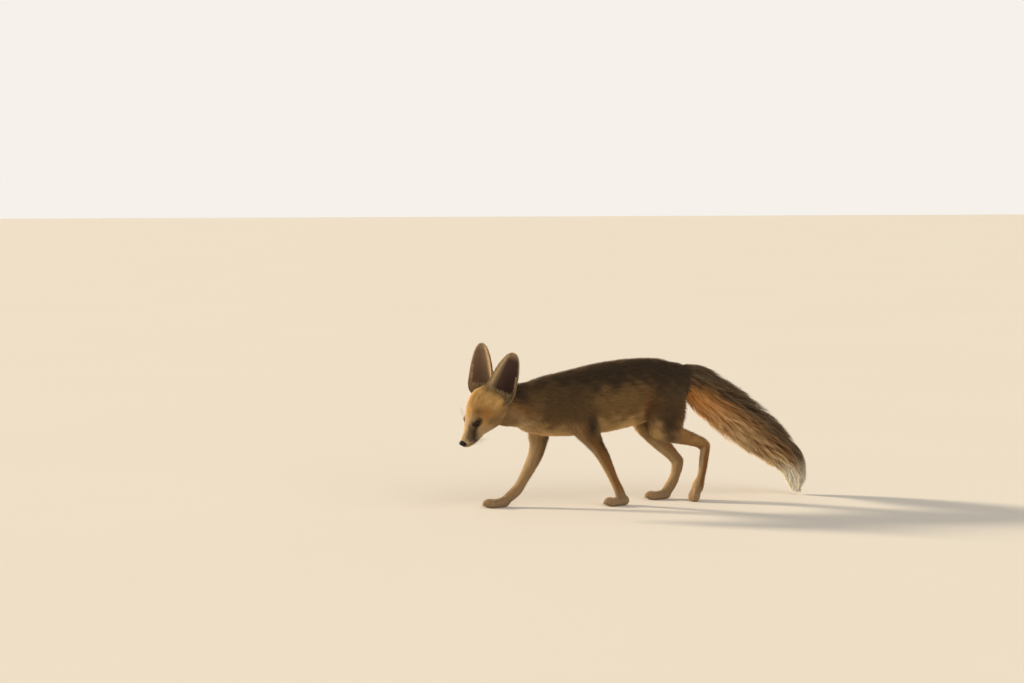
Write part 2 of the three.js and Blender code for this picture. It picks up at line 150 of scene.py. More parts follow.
def curve_at(stations, t):
    """Points on a smooth curve through evenly counted stations, for shares t from 0 to 1."""
    stations = np.asarray(stations, float)
    padded = np.vstack([2 * stations[0] - stations[1], stations, 2 * stations[-1] - stations[-2]])
    place = np.clip(t, 0, 1) * (len(stations) - 1)
    k = np.minimum(place.astype(int), len(stations) - 2)
    s = (place - k)[:, None]
    p0, p1, p2, p3 = (padded[k + i] for i in range(4))
    return p1 + 0.5 * s * (p2 - p0 + s * (2 * p0 - 5 * p1 + 4 * p2 - p3 + s * (3 * (p1 - p2) + p3 - p0)))


# ---- Lines inside the body, which the coat follows

TRUNK_LINE = np.array(
    [
        head_point(-4, 0, -5),
        head_point(45, 0, 0),
        head_point(92, 0, 6),
        (-236, -8, 190),
        (-196, -1, 188),
        (-112, 0, 190),
        (-32, 0, 202),
        (50, 0, 214),
        (112, 0, 226),
    ],
    float,
)
LEG_PLACES = {  # from the body down to the toes: places along the body, out from its middle, and up
    ("foreleg", LEFT): (
        (-124, -108, -72, -47, -27, -24, -60),
        (22, 30, 26, 24, 24, 24, 24),
        (214, 160, 112, 72, 30, 12, 6),
    ),
    ("foreleg", RIGHT): (
        (-134, -160, -166, -181, -206, -232, -275),
        (22, 29, 25, 24, 24, 24, 24),
        (214, 160, 114, 74, 34, 12, 6),
    ),
    ("hindleg", LEFT): (
        (74, 62, 96, 147, 143, 136, 126),
        (16, 28, 26, 25, 24, 22, 21),
        (236, 170, 122, 108, 60, 26, 2),
    ),
    ("hindleg", RIGHT): (
        (72, 46, 72, 113, 107, 90, 50),
        (16, 28, 26, 25, 24, 24, 24),
        (236, 160, 114, 74, 44, 13, 6),
    ),
}
LEG_LINES = {
    leg: np.array([(x, leg[1] * out, z) for x, out, z in zip(*rows)], float) for leg, rows in LEG_PLACES.items()
}

# The outer shape of the tail: place, half width, depth above and below its middle line
BRUSH = np.array(
    [
        [104, 0, 236, 16, 24, 23],
        [134, 0, 220, 26, 40, 35],
        [164, 0, 195, 34, 47.5, 43],
        [195, 0, 173, 39, 50, 48],
        [225, 0, 151, 40, 50, 49],
        [259, 0, 126, 38, 48, 47],
        [291, 0, 103, 34, 43, 42],
        [319, 0, 80, 29, 36, 36],
        [337, 0, 58, 24, 30, 29],
        [345, 0, 36, 17, 23, 22],
        [346, 0, 14, 5, 8, 7],
    ]
)
TAIL_LINE = BRUSH[:, :3]
TAIL_STEP = 0.01  # the share of the tail to each side over which its direction is measured
TAIL_RUN_ON = 90  # millimetres that a whole share past the end runs straight on


def brush_at(t, angle, share):
    """Points of the tail: t along it, an angle round it (up is a quarter turn back) and a share of its radius."""
    middle = curve_at(TAIL_LINE, t)
    size = curve_at(BRUSH[:, 3:], t)
    near = np.clip(t, 0, 1)
    ahead = curve_at(TAIL_LINE, np.minimum(near + TAIL_STEP, 1))
    behind = curve_at(TAIL_LINE, np.maximum(near - TAIL_STEP, 0))
    tangent = unit(ahead - behind)
    side = across(np.broadcast_to([0.0, 1.0, 0.0], tangent.shape), tangent)
    normal = np.cross(tangent, side)
    depth = np.where(np.sin(angle) > 0, size[:, 1], size[:, 2])
    beyond = np.maximum(t - 1, 0) * TAIL_RUN_ON
    return (
        middle
        + side * (np.cos(angle) * size[:, 0] * share)[:, None]
        + normal * (np.sin(angle) * depth * share)[:, None]
        + tangent * beyond[:, None]
    )


def follow(points, line):
    """For each point: its distance and offset from a line, and the line's direction and share of length there."""
    steps = np.diff(line, axis=0)
    lengths = np.linalg.norm(steps, axis=1)
    starts = np.concatenate([[0], np.cumsum(lengths)])
    corner = unit(np.vstack([steps[:1], unit(steps[:-1]) + unit(steps[1:]), steps[-1:]]))
    distance = np.full(len(points), 1e9)
    offset, direction, share = np.zeros_like(points), np.zeros_like(points), np.zeros(len(points))
    for k, (start, step, length) in enumerate(zip(line, steps, lengths)):
        t = np.clip((points - start) @ step / length**2, 0, 1)
        away = points - start - t[:, None] * step
        far = np.linalg.norm(away, axis=1)
        near = far < distance
        distance[near], offset[near] = far[near], away[near]
        direction[near] = mix(corner[k], corner[k + 1], t[near])
        share[near] = (starts[k] + t[near] * length) / starts[-1]
    return distance, offset, unit(direction), share


# The lines with the usual distance of the skin from each: trunk, four legs, tail
LINES = [(TRUNK_LINE, 44)] + [(line, 17) for line in LEG_LINES.values()] + [(TAIL_LINE, 40)]
# Each line's own rectangle of the flat layout: its lowest corner and its size
CHARTS = [(0.0, 0.0, 1.0, 0.4)] + [(0.25 * i, 0.42, 0.24, 0.3) for i in range(4)] + [(0.0, 0.74, 1.0, 0.25)]
TAIL_CHART = len(CHARTS) - 1
CHART_MARGIN = 0.03  # kept free along the edges of each rectangle
SAG = 0.35  # how far the coat of the sides also runs downwards
LINE_NEAREST = 3  # millimetres from a line within which its pull grows no more


def lie_of_coat(points):
    """The way the hair runs at points of the skin: from the nose back, down the legs and along the tail."""
    flow = np.zeros_like(points)
    for i, (line, radius) in enumerate(LINES):
        distance, _, direction, _ = follow(points, line)
        if i == 0:
            body = smooth(points[:, 0], -250, -200)
            direction = direction + np.array([0, 0, -SAG]) * body[:, None]
        flow += direction * ((radius / np.maximum(distance, LINE_NEAREST)) ** 3)[:, None]
    return unit(flow)


def unwrap(points, chart_of=None):
    """Each point's place on a flat layout of the skin: along its nearest line, and round it."""
    found = [follow(points, line) for line, _ in LINES]
    nearness = np.array([f[0] / radius for f, (_, radius) in zip(found, LINES)])
    chart = nearness.argmin(0) if chart_of is None else chart_of
    uv = np.zeros((len(points), 2))
    turn = np.zeros(len(points))
    for i, (_, offset, direction, share) in enumerate(found):
        here = chart == i
        side = across(np.broadcast_to([0.0, 1.0, 0.0], direction.shape), direction)
        normal = np.cross(direction, side)
        turn[here] = (np.arctan2((offset * normal).sum(1), (offset * side).sum(1)) / (2 * math.pi))[here]
        uv[here, 0] = share[here]
    uv[:, 1] = turn + 0.5
    return chart, uv


def on_chart(chart, uv):
    """Shares along and round a line, set in that line's own rectangle of the layout."""
    rectangle = np.array(CHARTS)[chart]
    return rectangle[:, :2] + rectangle[:, 2:] * (CHART_MARGIN + (1 - 2 * CHART_MARGIN) * uv)


# ---- Settings


def srgb(red, green, blue):
    """A colour named as on a screen, as the linear values that Blender keeps."""
    return tuple(((c / 255 + 0.055) / 1.055) ** 2.4 if c > 10 else c / 3294.6 for c in (red, green, blue))


def colour_property(name, description, red, green, blue):
    """A colour setting, given as on a screen."""
    return FloatVectorProperty(
        name=name, description=description, subtype="COLOR", size=3, min=0, max=1, default=srgb(red, green, blue)
    )


def length_property(name, description, default):
    """A length setting in metres."""
    return FloatProperty(name=name, description=description, unit="LENGTH", default=default)


class FoxColours(bpy.types.PropertyGroup):
    """The colours of the coat"""
    back: colour_property("Back", "Hair of the back and rump", 60, 45, 29)
    flank: colour_property("Flank", "Hair of the sides", 122, 93, 54)
    belly: colour_property("Belly", "Hair under the body", 216, 174, 114)
    neck: colour_property("Neck", "Hair of the sides of the neck", 136, 98, 54)
    ridge: colour_property("Ridge", "Rufous line along the spine", 120, 76, 42)
    rufous: colour_property("Rufous", "Back of the thighs and behind the eyes", 158, 96, 42)
    leg: colour_property("Leg", "Outer side of the legs", 142, 97, 49)
    cream: colour_property("Cream", "Front and inner side of the legs, chest and lips", 214, 184, 138)
    paw: colour_property("Paw", "Hair of the paws", 160, 132, 98)
    face: colour_property("Face", "Forehead and crown", 204, 160, 96)
    muzzle: colour_property("Muzzle", "Bridge and sides of the muzzle", 196, 166, 126)
    tear: colour_property("Tear line", "Dark stripe from the eye to the lip", 48, 31, 19)
    # The shade colour is painted shade: at the elbow, the flank fold, the thigh, the back of the forelegs, the lower
    # cheeks, the sides of the muzzle and the base of the ears' hair; it also darkens the band above the eyes
    shade: colour_property("Shade", "Dark hair at the elbow and flank fold", 47, 32, 21)
    tail_top: colour_property("Tail top", "Dark hair along the top of the tail", 76, 53, 30)
    tail_under: colour_property("Tail underside", "Orange hair under the tail", 226, 148, 64)
    tail_tip: colour_property("Tail tip", "White end of the tail", 255, 244, 220)
    ear_back: colour_property("Ear back", "Hair of the back of the ears", 178, 138, 90)
    ear_inside: colour_property("Ear inside", "Bare skin in the cup of the ears", 70, 44, 34)


class FoxCoat(bpy.types.PropertyGroup):
    """The tufts and locks of the coat"""

    body_length: length_property("Body hair", "Length of a tuft on the body", 0.0145)
    leg_length: length_property("Leg hair", "Length of a tuft on the legs", 0.0075)
    face_length: length_property("Face hair", "Length of a tuft on the face", 0.0048)
    body_width: length_property("Body tuft", "Width of a tuft on the body", 0.00095)
    body_density: FloatProperty(name="Body density", description="Tufts to a square millimetre", default=0.46)
    tail_length: length_property("Tail hair", "Length of a lock on the tail", 0.05)
    tail_locks: IntProperty(name="Tail locks", description="Number of fine locks on the tail", default=17000)
    seed: IntProperty(name="Seed", description="Seed of every random draw", default=11)


class FoxStage(bpy.types.PropertyGroup):
    """The floor and the lights"""
    floor: colour_property("Floor", "Pale floor", 226, 220, 210)
    sky: FloatProperty(name="Sky", description="Strength of the even light from all round", default=0.46)
    key: FloatProperty(name="Key light", description="Strength of the soft light from the front", default=0.95)
    rim: FloatProperty(name="Rim light", description="Strength of the low warm light behind the fox", default=5.0)


def palette(colours):
    """The colours of the settings by name, as arrays of linear values."""
    return {name: np.array(getattr(colours, name)) for name in FoxColours.__annotations__}


# ---- Materials


def new_material(name):
    """A node material with its shader, ready for what feeds it."""
    material = bpy.data.materials.new(name)
    material.use_nodes = True
    tree = material.node_tree
    shader = tree.nodes["Principled BSDF"]
    return material, tree, shader


def add_node(tree, kind, **values):
    """A node with its inputs and own settings given by name."""
    node = tree.nodes.new(kind)
    for name, value in values.items():
        if name in node.inputs:
            node.inputs[name].default_value = value
        else:
            setattr(node, name, value)
    return node


def set_shader(shader, **values):
    """Sets inputs of a shader by their names, with _ for a space."""
    for name, value in values.items():
        shader.inputs[name.replace("_", " ")].default_value = value


def add_texture(tree, kind, **values):
    """A texture laid out in the piece's own space."""
    place = add_node(tree, "ShaderNodeTexCoord")
    texture = add_node(tree, kind, **values)
    tree.links.new(place.outputs["Object"], texture.inputs["Vector"])
    return texture


def add_tones(tree, shader, share, dark, light):
    """Colours a shader from a dark to a light tone by an output of a texture."""
    tone = add_node(tree, "ShaderNodeMixRGB")
    tone.inputs["Color1"].default_value = (*dark, 1)
    tone.inputs["Color2"].default_value = (*light, 1)
    tree.links.new(share, tone.inputs["Fac"])
    tree.links.new(tone.outputs["Color"], shader.inputs["Base Color"])


def add_bump(tree, shader, height, strength, depth):
    """Raises a shader's surface by an output of a texture, up to a depth in metres."""
    raised = add_node(tree, "ShaderNodeBump", Strength=strength, Distance=depth)
    tree.links.new(height, raised.inputs["Height"])
    tree.links.new(raised.outputs["Normal"], shader.inputs["Normal"])


GRAIN_TONES = (0.78, 1.22)  # the darkest and lightest grain of the hair, as shares of its painted colour


def hair_material(name, bump, roughness=0.78, sheen=0.2, grain=900.0):
    """Hair whose colour is painted on the mesh, with a fine uneven grain."""
    material, tree, shader = new_material(name)
    painted = add_node(tree, "ShaderNodeAttribute", attribute_name="coat")
    noise = add_texture(tree, "ShaderNodeTexNoise", Scale=grain, Detail=3.0)
    ramp = add_node(tree, "ShaderNodeMapRange")
    ramp.inputs["To Min"].default_value, ramp.inputs["To Max"].default_value = GRAIN_TONES
    grained = add_node(tree, "ShaderNodeVectorMath", operation="SCALE")
    tree.links.new(noise.outputs["Fac"], ramp.inputs["Value"])
    tree.links.new(painted.outputs["Color"], grained.inputs[0])
    tree.links.new(ramp.outputs["Result"], grained.inputs["Scale"])
    tree.links.new(grained.outputs["Vector"], shader.inputs["Base Color"])
    if bump:
        add_bump(tree, shader, noise.outputs["Fac"], bump, 0.0006)
    set_shader(shader, Roughness=roughness, Sheen_Weight=sheen, Sheen_Roughness=0.5, Specular_IOR_Level=0.25)
    set_shader(shader, Sheen_Tint=(1.0, 0.76, 0.46, 1))
    return material


def leather_material():
    """Damp black nose leather with its pebbled cells."""
    material, tree, shader = new_material("nose_leather")
    cells = add_texture(tree, "ShaderNodeTexVoronoi", Scale=1500.0)
    add_bump(tree, shader, cells.outputs["Distance"], 0.5, 0.0003)
    add_tones(tree, shader, cells.outputs["Distance"], (0.006, 0.005, 0.005), (0.022, 0.018, 0.016))
    set_shader(shader, Roughness=0.45, Specular_IOR_Level=0.2)
    return material


def painted_material(name, attribute, roughness, gloss=0.5, grain=0.0, bump=0.0):
    """A smooth finish painted on the mesh, with a faint grain."""
    material, tree, shader = new_material(name)
    painted = add_node(tree, "ShaderNodeAttribute", attribute_name=attribute)
    tree.links.new(painted.outputs["Color"], shader.inputs["Base Color"])
    if bump:
        noise = add_texture(tree, "ShaderNodeTexNoise", Scale=grain, Detail=4.0)
        add_bump(tree, shader, noise.outputs["Fac"], bump, 0.0003)
    set_shader(shader, Roughness=roughness, Specular_IOR_Level=gloss)
    return material


def uneven_material(name, scale, detail, dark, light, **finish):
    """A material that changes unevenly between two tones."""
    material, tree, shader = new_material(name)
    noise = add_texture(tree, "ShaderNodeTexNoise", Scale=scale, Detail=detail)
    add_tones(tree, shader, noise.outputs["Fac"], dark, light)
    set_shader(shader, **finish)
    return material


def horn_material():
    """Dark horn of the claws."""
    return uneven_material("claw_horn", 420.0, 3.0, srgb(48, 36, 28), srgb(120, 98, 74), Roughness=0.42)


def whisker_material():
    """Dark stiff hair of the whiskers."""
    return uneven_material("whisker", 120.0, 2.0, srgb(30, 24, 20), srgb(96, 80, 64), Roughness=0.4)


# ---- Meshes


def add_object(name, data):
    """A new object in the scene."""
    made = bpy.data.objects.new(name, data)
    bpy.context.scene.collection.objects.link(made)
    return made


def keep_paint(mesh, attribute, paint):
    """Keeps a colour at each point of a mesh."""
    layer = mesh.color_attributes.new(attribute, "FLOAT_COLOR", "POINT")
    layer.data.foreach_set("color", np.column_stack([paint, np.ones(len(paint))]).astype(np.float32).ravel())


def keep_layout(mesh, corner_uv):
    """Keeps the place of each corner of a mesh on its flat layout."""
    mesh.uv_layers.new(name="OFBake").data.foreach_set("uv", corner_uv.astype(np.float32).ravel())


def make_piece(name, points, faces, material, paint=None, uv=None, normals=None, attribute="coat"):
    """A finished piece from arrays: points in the design frame, faces of three or four corners."""
    faces = np.asarray(faces)
    count, corners = faces.shape
    mesh = bpy.data.meshes.new(name)
    mesh.vertices.add(len(points))
    mesh.vertices.foreach_set("co", to_row(points).astype(np.float32).ravel())
    mesh.loops.add(count * corners)
    mesh.loops.foreach_set("vertex_index", faces.astype(np.int32).ravel())
    mesh.polygons.add(count)
    mesh.polygons.foreach_set("loop_start", np.arange(count, dtype=np.int32) * corners)
    mesh.update(calc_edges=True)
    mesh.shade_smooth()
    if paint is not None:
        keep_paint(mesh, attribute, paint)
    if uv is not None:
        keep_layout(mesh, uv[faces.ravel()])
    if normals is not None:
        mesh.normals_split_custom_set_from_vertices(normals.astype(np.float32))
    mesh.materials.append(material)
    piece = add_object(name, mesh)
    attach(piece, "root")
    return piece


def grid_faces(rows, columns, wrap=True):
    """Four-cornered faces of a grid of points, closed round its columns when wrap is true."""
    row = np.arange(rows - 1)[:, None] * columns
    column = np.arange(columns if wrap else columns - 1)[None, :]
    right = (column + 1) % columns
    return np.stack([row + column, row + right, row + columns + right, row + columns + column], -1).reshape(-1, 4)


def halves(faces):
    """Four-cornered faces cut into triangles, all the first halves and then all the second."""
    return np.vstack([faces[:, [0, 1, 2]], faces[:, [0, 2, 3]]])


def outward(points, faces):
    """The same faces, turned if the body they close has its inside out."""
    corner = points[faces]
    middle = points.mean(0)
    spin = np.cross(corner[:, 1] - corner[:, 0], corner[:, 2] - corner[:, 0])
    return faces if (spin * (corner[:, 0] - middle)).sum() > 0 else faces[:, ::-1]


def ball_angles(rows, columns):
    """Angles from the front and round it for the points of a ball, without its two poles."""
    theta = np.repeat(np.linspace(0, math.pi, rows + 1)[1:-1], columns)
    phi = np.tile(np.arange(columns) / columns * 2 * math.pi, rows - 1)
    return theta, phi


def ball_triangles(rows, columns):
    """Triangles over the points of a ball, whose two poles come last."""
    ring = np.arange(columns)
    beside = (ring + 1) % columns
    last, front = (rows - 2) * columns, np.full(columns, (rows - 1) * columns)
    caps = [np.stack([beside, ring, front, front], 1)]
    caps.append(np.stack([last + ring, last + beside, front + 1, front + 1], 1))
    triangles = halves(np.vstack([grid_faces(rows - 1, columns), *caps]))
    return triangles[(triangles[:, 1] != triangles[:, 2]) & (triangles[:, 0] != triangles[:, 2])]


def vertex_normals(points, faces):
    """A unit normal for each point of a mesh."""
    a, b, c = points[faces[:, 0]], points[faces[:, 1]], points[faces[:, 2]]
    normal = np.cross(b - a, points[faces[:, -1]] - a) + np.cross(b - a, c - a)
    corners = range(faces.shape[1])
    total = [sum(np.bincount(faces[:, i], normal[:, k], len(points)) for i in corners) for k in range(3)]
    return unit(np.stack(total, 1))


# ---- The field of the skin

VOXEL = 1.2  # millimetres
CLOSE = 0.4  # closes the thin gaps between the solids
CLOSE_BODY = 4.0  # fills the creases where the legs leave the body
BAND = 9  # voxels of true distance kept on each side
SOLID_BAND = 5  # voxels of true distance taken from each solid
GRID_MARGIN = 12  # millimetres of the grid beyond the solids


def node_arrays(name):
    """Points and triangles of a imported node, its loose corners merged."""
    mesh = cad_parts[name].data
    points = np.empty(len(mesh.vertices) * 3, np.float32)
    mesh.vertices.foreach_get("co", points)
    points = points.reshape(-1, 3) * 1000 - SHIFT
    corners = np.empty(len(mesh.loops), np.int32)
    mesh.loops.foreach_get("vertex_index", corners)
    _, first, merged = np.unique(np.round(points, 3), axis=0, return_index=True, return_inverse=True)
    return points[first], merged.ravel()[corners].reshape(-1, 3)


class Field:
    """Distances on a grid of voxels: negative inside, in millimetres."""

    def __init__(self, low, high, voxel):
        """An empty field over a box of the design frame."""
        self.low, self.voxel = np.asarray(low, float), voxel
        self.size = np.ceil((np.asarray(high) - low) / voxel).astype(int)
        self.values = np.full(self.size, BAND * voxel, np.float32)
        self.transform = openvdb.createLinearTransform(voxelSize=voxel)

    def add(self, points, faces, band=BAND):
        """Joins a closed body to the field."""
        kind = "triangles" if faces.shape[1] == 3 else "quads"
        grid = openvdb.FloatGrid.createLevelSetFromPolygons(
            (points - self.low).astype(np.float32),
            transform=self.transform,
            halfWidth=float(band),
            **{kind: faces.astype(np.uint32)},
        )
        low, high = (np.array(corner) for corner in grid.evalActiveVoxelBoundingBox())
        low, high = np.maximum(low, 0), np.minimum(high + 1, self.size)
        part = np.empty(high - low, np.float32)
        grid.copyToArray(part, ijk=tuple(int(i) for i in low))
        here = tuple(slice(a, b) for a, b in zip(low, high))
        self.values[here] = np.minimum(self.values[here], part)

    def surface(self, level=0.0, step=1):
        """Points and four-cornered faces where the field has a level."""
        values = np.ascontiguousarray(self.values[::step, ::step, ::step])
        grid = openvdb.FloatGrid(float(BAND * self.voxel))
        grid.copyFromArray(values, ijk=(0, 0, 0), tolerance=0.0)
        grid.gridClass = openvdb.GridClass.LEVEL_SET
        grid.transform = openvdb.createLinearTransform(voxelSize=self.voxel * step)
        points, quads = grid.convertToQuads(isovalue=level)
        return points.astype(float) + self.low, quads.astype(np.int64)[:, ::-1]

    def blur(self, rounds):
        """Softens the field along its three directions."""
        for _ in range(rounds):
            for axis in range(3):
                near = np.roll(self.values, 1, axis) + np.roll(self.values, -1, axis)
                self.values = 0.5 * self.values + 0.25 * near

    def places(self):
        """The place of every voxel, as three arrays that spread over the grid."""
        axes = (self.low[i] + np.arange(self.size[i]) * self.voxel for i in range(3))
        return np.meshgrid(*axes, indexing="ij", sparse=True)

    def at(self, points):
        """The field at points, and its slope."""
        place = (points - self.low) / self.voxel
        cell = np.clip(np.floor(place).astype(int), 0, self.size - 2)
        x, y, z = np.clip(place - cell, 0, 1).T
        i, j, k = cell.T
        c = {(a, b, d): self.values[i + a, j + b, k + d] for a in (0, 1) for b in (0, 1) for d in (0, 1)}
        edge = {(b, d): between(c[0, b, d], c[1, b, d], x) for b in (0, 1) for d in (0, 1)}
        face = {d: between(edge[0, d], edge[1, d], y) for d in (0, 1)}
        rise = {(b, d): c[1, b, d] - c[0, b, d] for b in (0, 1) for d in (0, 1)}
        slope_x = between(between(rise[0, 0], rise[1, 0], y), between(rise[0, 1], rise[1, 1], y), z)
        slope_y = between(edge[1, 0] - edge[0, 0], edge[1, 1] - edge[0, 1], z)
        slope = np.stack([slope_x, slope_y, face[1] - face[0]], 1) / self.voxel
        return between(face[0], face[1], z), slope

    def pull(self, points, level, rounds=1, reach=2.5):
        """Moves points along the slope to where the field has their level, a short way at a time."""
        for _ in range(rounds):
            value, slope = self.at(points)
            steep = np.maximum((slope**2).sum(1), 0.4)
            step = slope * ((level - value) / steep)[:, None]
            far = np.linalg.norm(step, axis=1, keepdims=True)
            points = points + step * np.minimum(1, reach / np.maximum(far, 1e-6))
        return points

    def block(self, middle, reach):
        """The part of the grid round a place: its slices and the places of its voxels."""
        first = np.maximum(((middle - reach - self.low) / self.voxel).astype(int), 0)
        last = np.minimum(((middle + reach - self.low) / self.voxel).astype(int) + 1, self.size)
        axes = [self.low[i] + np.arange(first[i], last[i]) * self.voxel for i in range(3)]
        grid = np.stack(np.meshgrid(*axes, indexing="ij"), -1)
        return tuple(slice(a, b) for a, b in zip(first, last)), grid

    def swell(self, here, shape, size, radius):
        """Joins an ellipsoid to a block, from the block's places as shares of its half axes."""
        body = (np.linalg.norm(shape, axis=1) - 1) * size
        value = self.values[here]
        self.values[here] = -blend_max(-value.ravel(), -body, radius).reshape(value.shape)


def coat_depth(x, y, z):
    """How deep the coat lies over the skin, the share that is on the head, and the place along the head."""
    away = [place - tip for place, tip in zip((x, y, z), NOSE_TIP)]
    hx, hz = (sum(part * HEAD_TURN[i, k] for i, part in enumerate(away)) for k in (0, 2))
    on_head = smooth(hx, 120, 96) * smooth(hz, -62, -44) * smooth(hx, -60, -30)
    on_leg = smooth(z, 165, 105)
    body = 6.0 - 3.9 * on_leg
    body = body - (1.1 * smooth(z, 40, 15)) * on_leg
    face = 1.0 + 1.6 * smooth(hx, 40, 75) + 2.6 * smooth(hx, 75, 112)
    return between(body, face, on_head), on_head, hx


def head_share(points):
    """1 on the head, easing to 0 behind the cheeks."""
    return coat_depth(*points.T)[1]


CORE_AT_ROOT, CORE = 0.72, 0.5  # how much of the tail's radius is flesh and wool, at its root and further on


def tail_core():
    """The flesh and woolly core of the tail."""
    rows, columns = 60, 32
    t = np.repeat(np.linspace(0.0, 0.97, rows), columns)
    angle = np.tile(np.arange(columns) / columns * 2 * math.pi, rows)
    points = brush_at(t, angle, between(CORE_AT_ROOT, CORE, smooth(t, 0.0, 0.3)))
    ring = np.arange(columns)
    beside = (ring + 1) % columns
    first, last_ring = np.full(columns, len(points)), (rows - 1) * columns
    ends = [np.stack([ring, first, first, beside], 1)]
    ends.append(np.stack([last_ring + ring, last_ring + beside, first + 1, first + 1], 1))
    points = np.vstack([points, points[:columns].mean(0), points[-columns:].mean(0)])
    triangles = np.vstack([halves(faces) for faces in [grid_faces(rows, columns), *ends]])
    corner = np.sort(triangles, 1)
    triangles = triangles[(corner[:, 0] != corner[:, 1]) & (corner[:, 1] != corner[:, 2])]
    return points, outward(points, triangles)


def skin_field():
    """The field whose zero is the skin: inside the solids of the flesh by the depth of the coat."""
    low = to_design(CAD_BOX[0]) - GRID_MARGIN
    high = to_design(CAD_BOX[1]) + GRID_MARGIN
    solids = Field(low, high, VOXEL)
    for name in FLESH:
        solids.add(*node_arrays(name), band=SOLID_BAND)
    solids.values = np.minimum(solids.values, SOLID_BAND * VOXEL)
    closed = []
    for gap in (CLOSE, CLOSE_BODY):
        grown = Field(low, high, VOXEL)
        grown.add(*solids.surface(gap))
        closed.append(grown.values + np.float32(gap))
    depth, on_head, _ = coat_depth(*solids.places())
    fine = np.maximum(on_head, smooth(solids.places()[2], 44, 30)).astype(np.float32)
    skin = Field(low, high, VOXEL)
    skin.values = between(closed[1], closed[0], fine) + depth.astype(np.float32)
    core = Field(low, high, VOXEL)
    core.add(*tail_core())
    skin.values = -blend_max(-skin.values, -core.values, 8.0).astype(np.float32)
    skin.blur(2)
    sharp = skin.values.copy()
    skin.blur(12)
    skin.values = between(skin.values, sharp, fine)
    shape_ear_bases(skin)
    shape_toes(skin)
    here, grid = skin.block(head_point(*MUZZLE_END), 16)
    local = head_local(grid.reshape(-1, 3))
    skin.swell(here, (local - MUZZLE_END) / MUZZLE_SIZE, min(MUZZLE_SIZE), 3.0)
    for side in SIDES.values():
        shape_lids(skin, side)
    return skin


EAR_BASE = (15, 10, 17.5)  # half axes of the swelling under an ear: along it, the way it opens, and across


def shape_ear_bases(skin):
    """Swells the skin where the ears join the head."""
    for ear in EARS:
        root, axis, opening, sideways = ear_axes(ear)
        here, grid = skin.block(root, 34)
        away = grid.reshape(-1, 3) - root - axis * 2 + sideways * outer_turn(ear) + opening * 5
        shape = np.column_stack([away @ way / half for way, half in zip((axis, opening, sideways), EAR_BASE)])
        skin.swell(here, shape, 13, 8.0)


PAWS = [  # place along the body, side, lift, tilt, out from the middle
    (-13, LEFT, 0, 0, 24),
    (-230, RIGHT, 0, 0, 24),
    (142, LEFT, 33, -72, 21),
    (90, RIGHT, 0, 0, 24),
]
TOES = [(-9.3, 36), (-3.3, 41), (3.3, 41), (9.3, 36)]  # place across the paw, and the reach of the toe's end
TOE_BACK = 9.0  # from a toe's end back to its middle
TOE_SIZE = (8.0, 3.9, 6.2)
TOE_HEIGHT = 8.4


def paw_turn(side, tilt):
    """How a paw is turned out, and tipped on its toes."""
    return np.array(Euler((0, math.radians(tilt), math.radians(-side * 3)), "XYZ").to_matrix())


def shape_toes(skin):
    """Swells the skin into four toes on each paw."""
    for x, side, lift, tilt, out in PAWS:
        turn = paw_turn(side, tilt)
        for spread, reach in TOES:
            middle = turn @ (-reach + TOE_BACK, spread, TOE_HEIGHT) + (x, side * out, lift)
            middle[2] = max(middle[2], TOE_HEIGHT)
            here, grid = skin.block(middle, 13)
            skin.swell(here, (grid.reshape(-1, 3) - middle) @ turn / TOE_SIZE, min(TOE_SIZE), 1.5)


MUZZLE_END = (9.8, 0.0, -4.0)
MUZZLE_SIZE = (7.6, 6.6, 6.4)


def shape_lids(skin, side):
    """Swells the skin round an eye and opens it as far as the lids do."""
    eye = head_point(*eye_centre(side))
    here, grid = skin.block(eye, 15)
    local = head_local(grid.reshape(-1, 3))
    away = np.linalg.norm(local - eye_centre(side), axis=1)
    value = skin.values[here].ravel()
    value = -blend_max(-value, LID_RADIUS_UNDER_HAIR - away, 3.5)
    opening = np.minimum((SKIN_OPENING - lid_share(local, side)) * 4, away - EYE_RADIUS + 0.6)
    skin.values[here] = np.maximum(value, opening).reshape(grid.shape[:3])


LID_HALF = (0.74, 0.46)  # radians from the middle of the eye's opening to its corners, and to its upper edge
LID_RADIUS_UNDER_HAIR = 7.25
SKIN_OPENING = 1.2  # how far the skin opens, as a share of the lids' opening


def lid_share(local, side):
    """How far towards the lids' edge places of the head frame lie, seen from the middle of the eye."""
    gaze, length, up = eye_axes(side)
    way = unit(local - eye_centre(side))
    turn = np.arccos(np.clip(way @ gaze, -1, 1))
    a, b = way @ length, way @ up
    scale = turn / np.maximum(np.sqrt(a**2 + b**2), 1e-6)
    return np.sqrt((a * scale / LID_HALF[0]) ** 2 + (b * scale / LID_HALF[1]) ** 2)


def blend_max(a, b, radius):
    """The larger of two fields, rounded where they meet."""
    share = np.clip(0.5 + 0.5 * (a - b) / radius, 0, 1)
    return between(b, a, share) + radius * share * (1 - share)


def to_design(corner):
    """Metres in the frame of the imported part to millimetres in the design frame."""
    return np.array(corner) * 1000 - SHIFT


# ---- The skin's mesh

# The line of the mouth in the head frame: places from the nose back, and up
MOUTH = np.array([[-6, -7.5], [8, -9.5], [17, -13.5], [27, -15.5], [37, -13.5]], float)


def near_mouth(local):
    """Distance from the line of the mouth seen from the side, for points of the head frame."""
    flat = np.column_stack([local[:, 0], np.zeros(len(local)), local[:, 2]])
    line = np.column_stack([MOUTH[:, 0], np.zeros(len(MOUTH)), MOUTH[:, 1]])
    return follow(flat, line)[0]


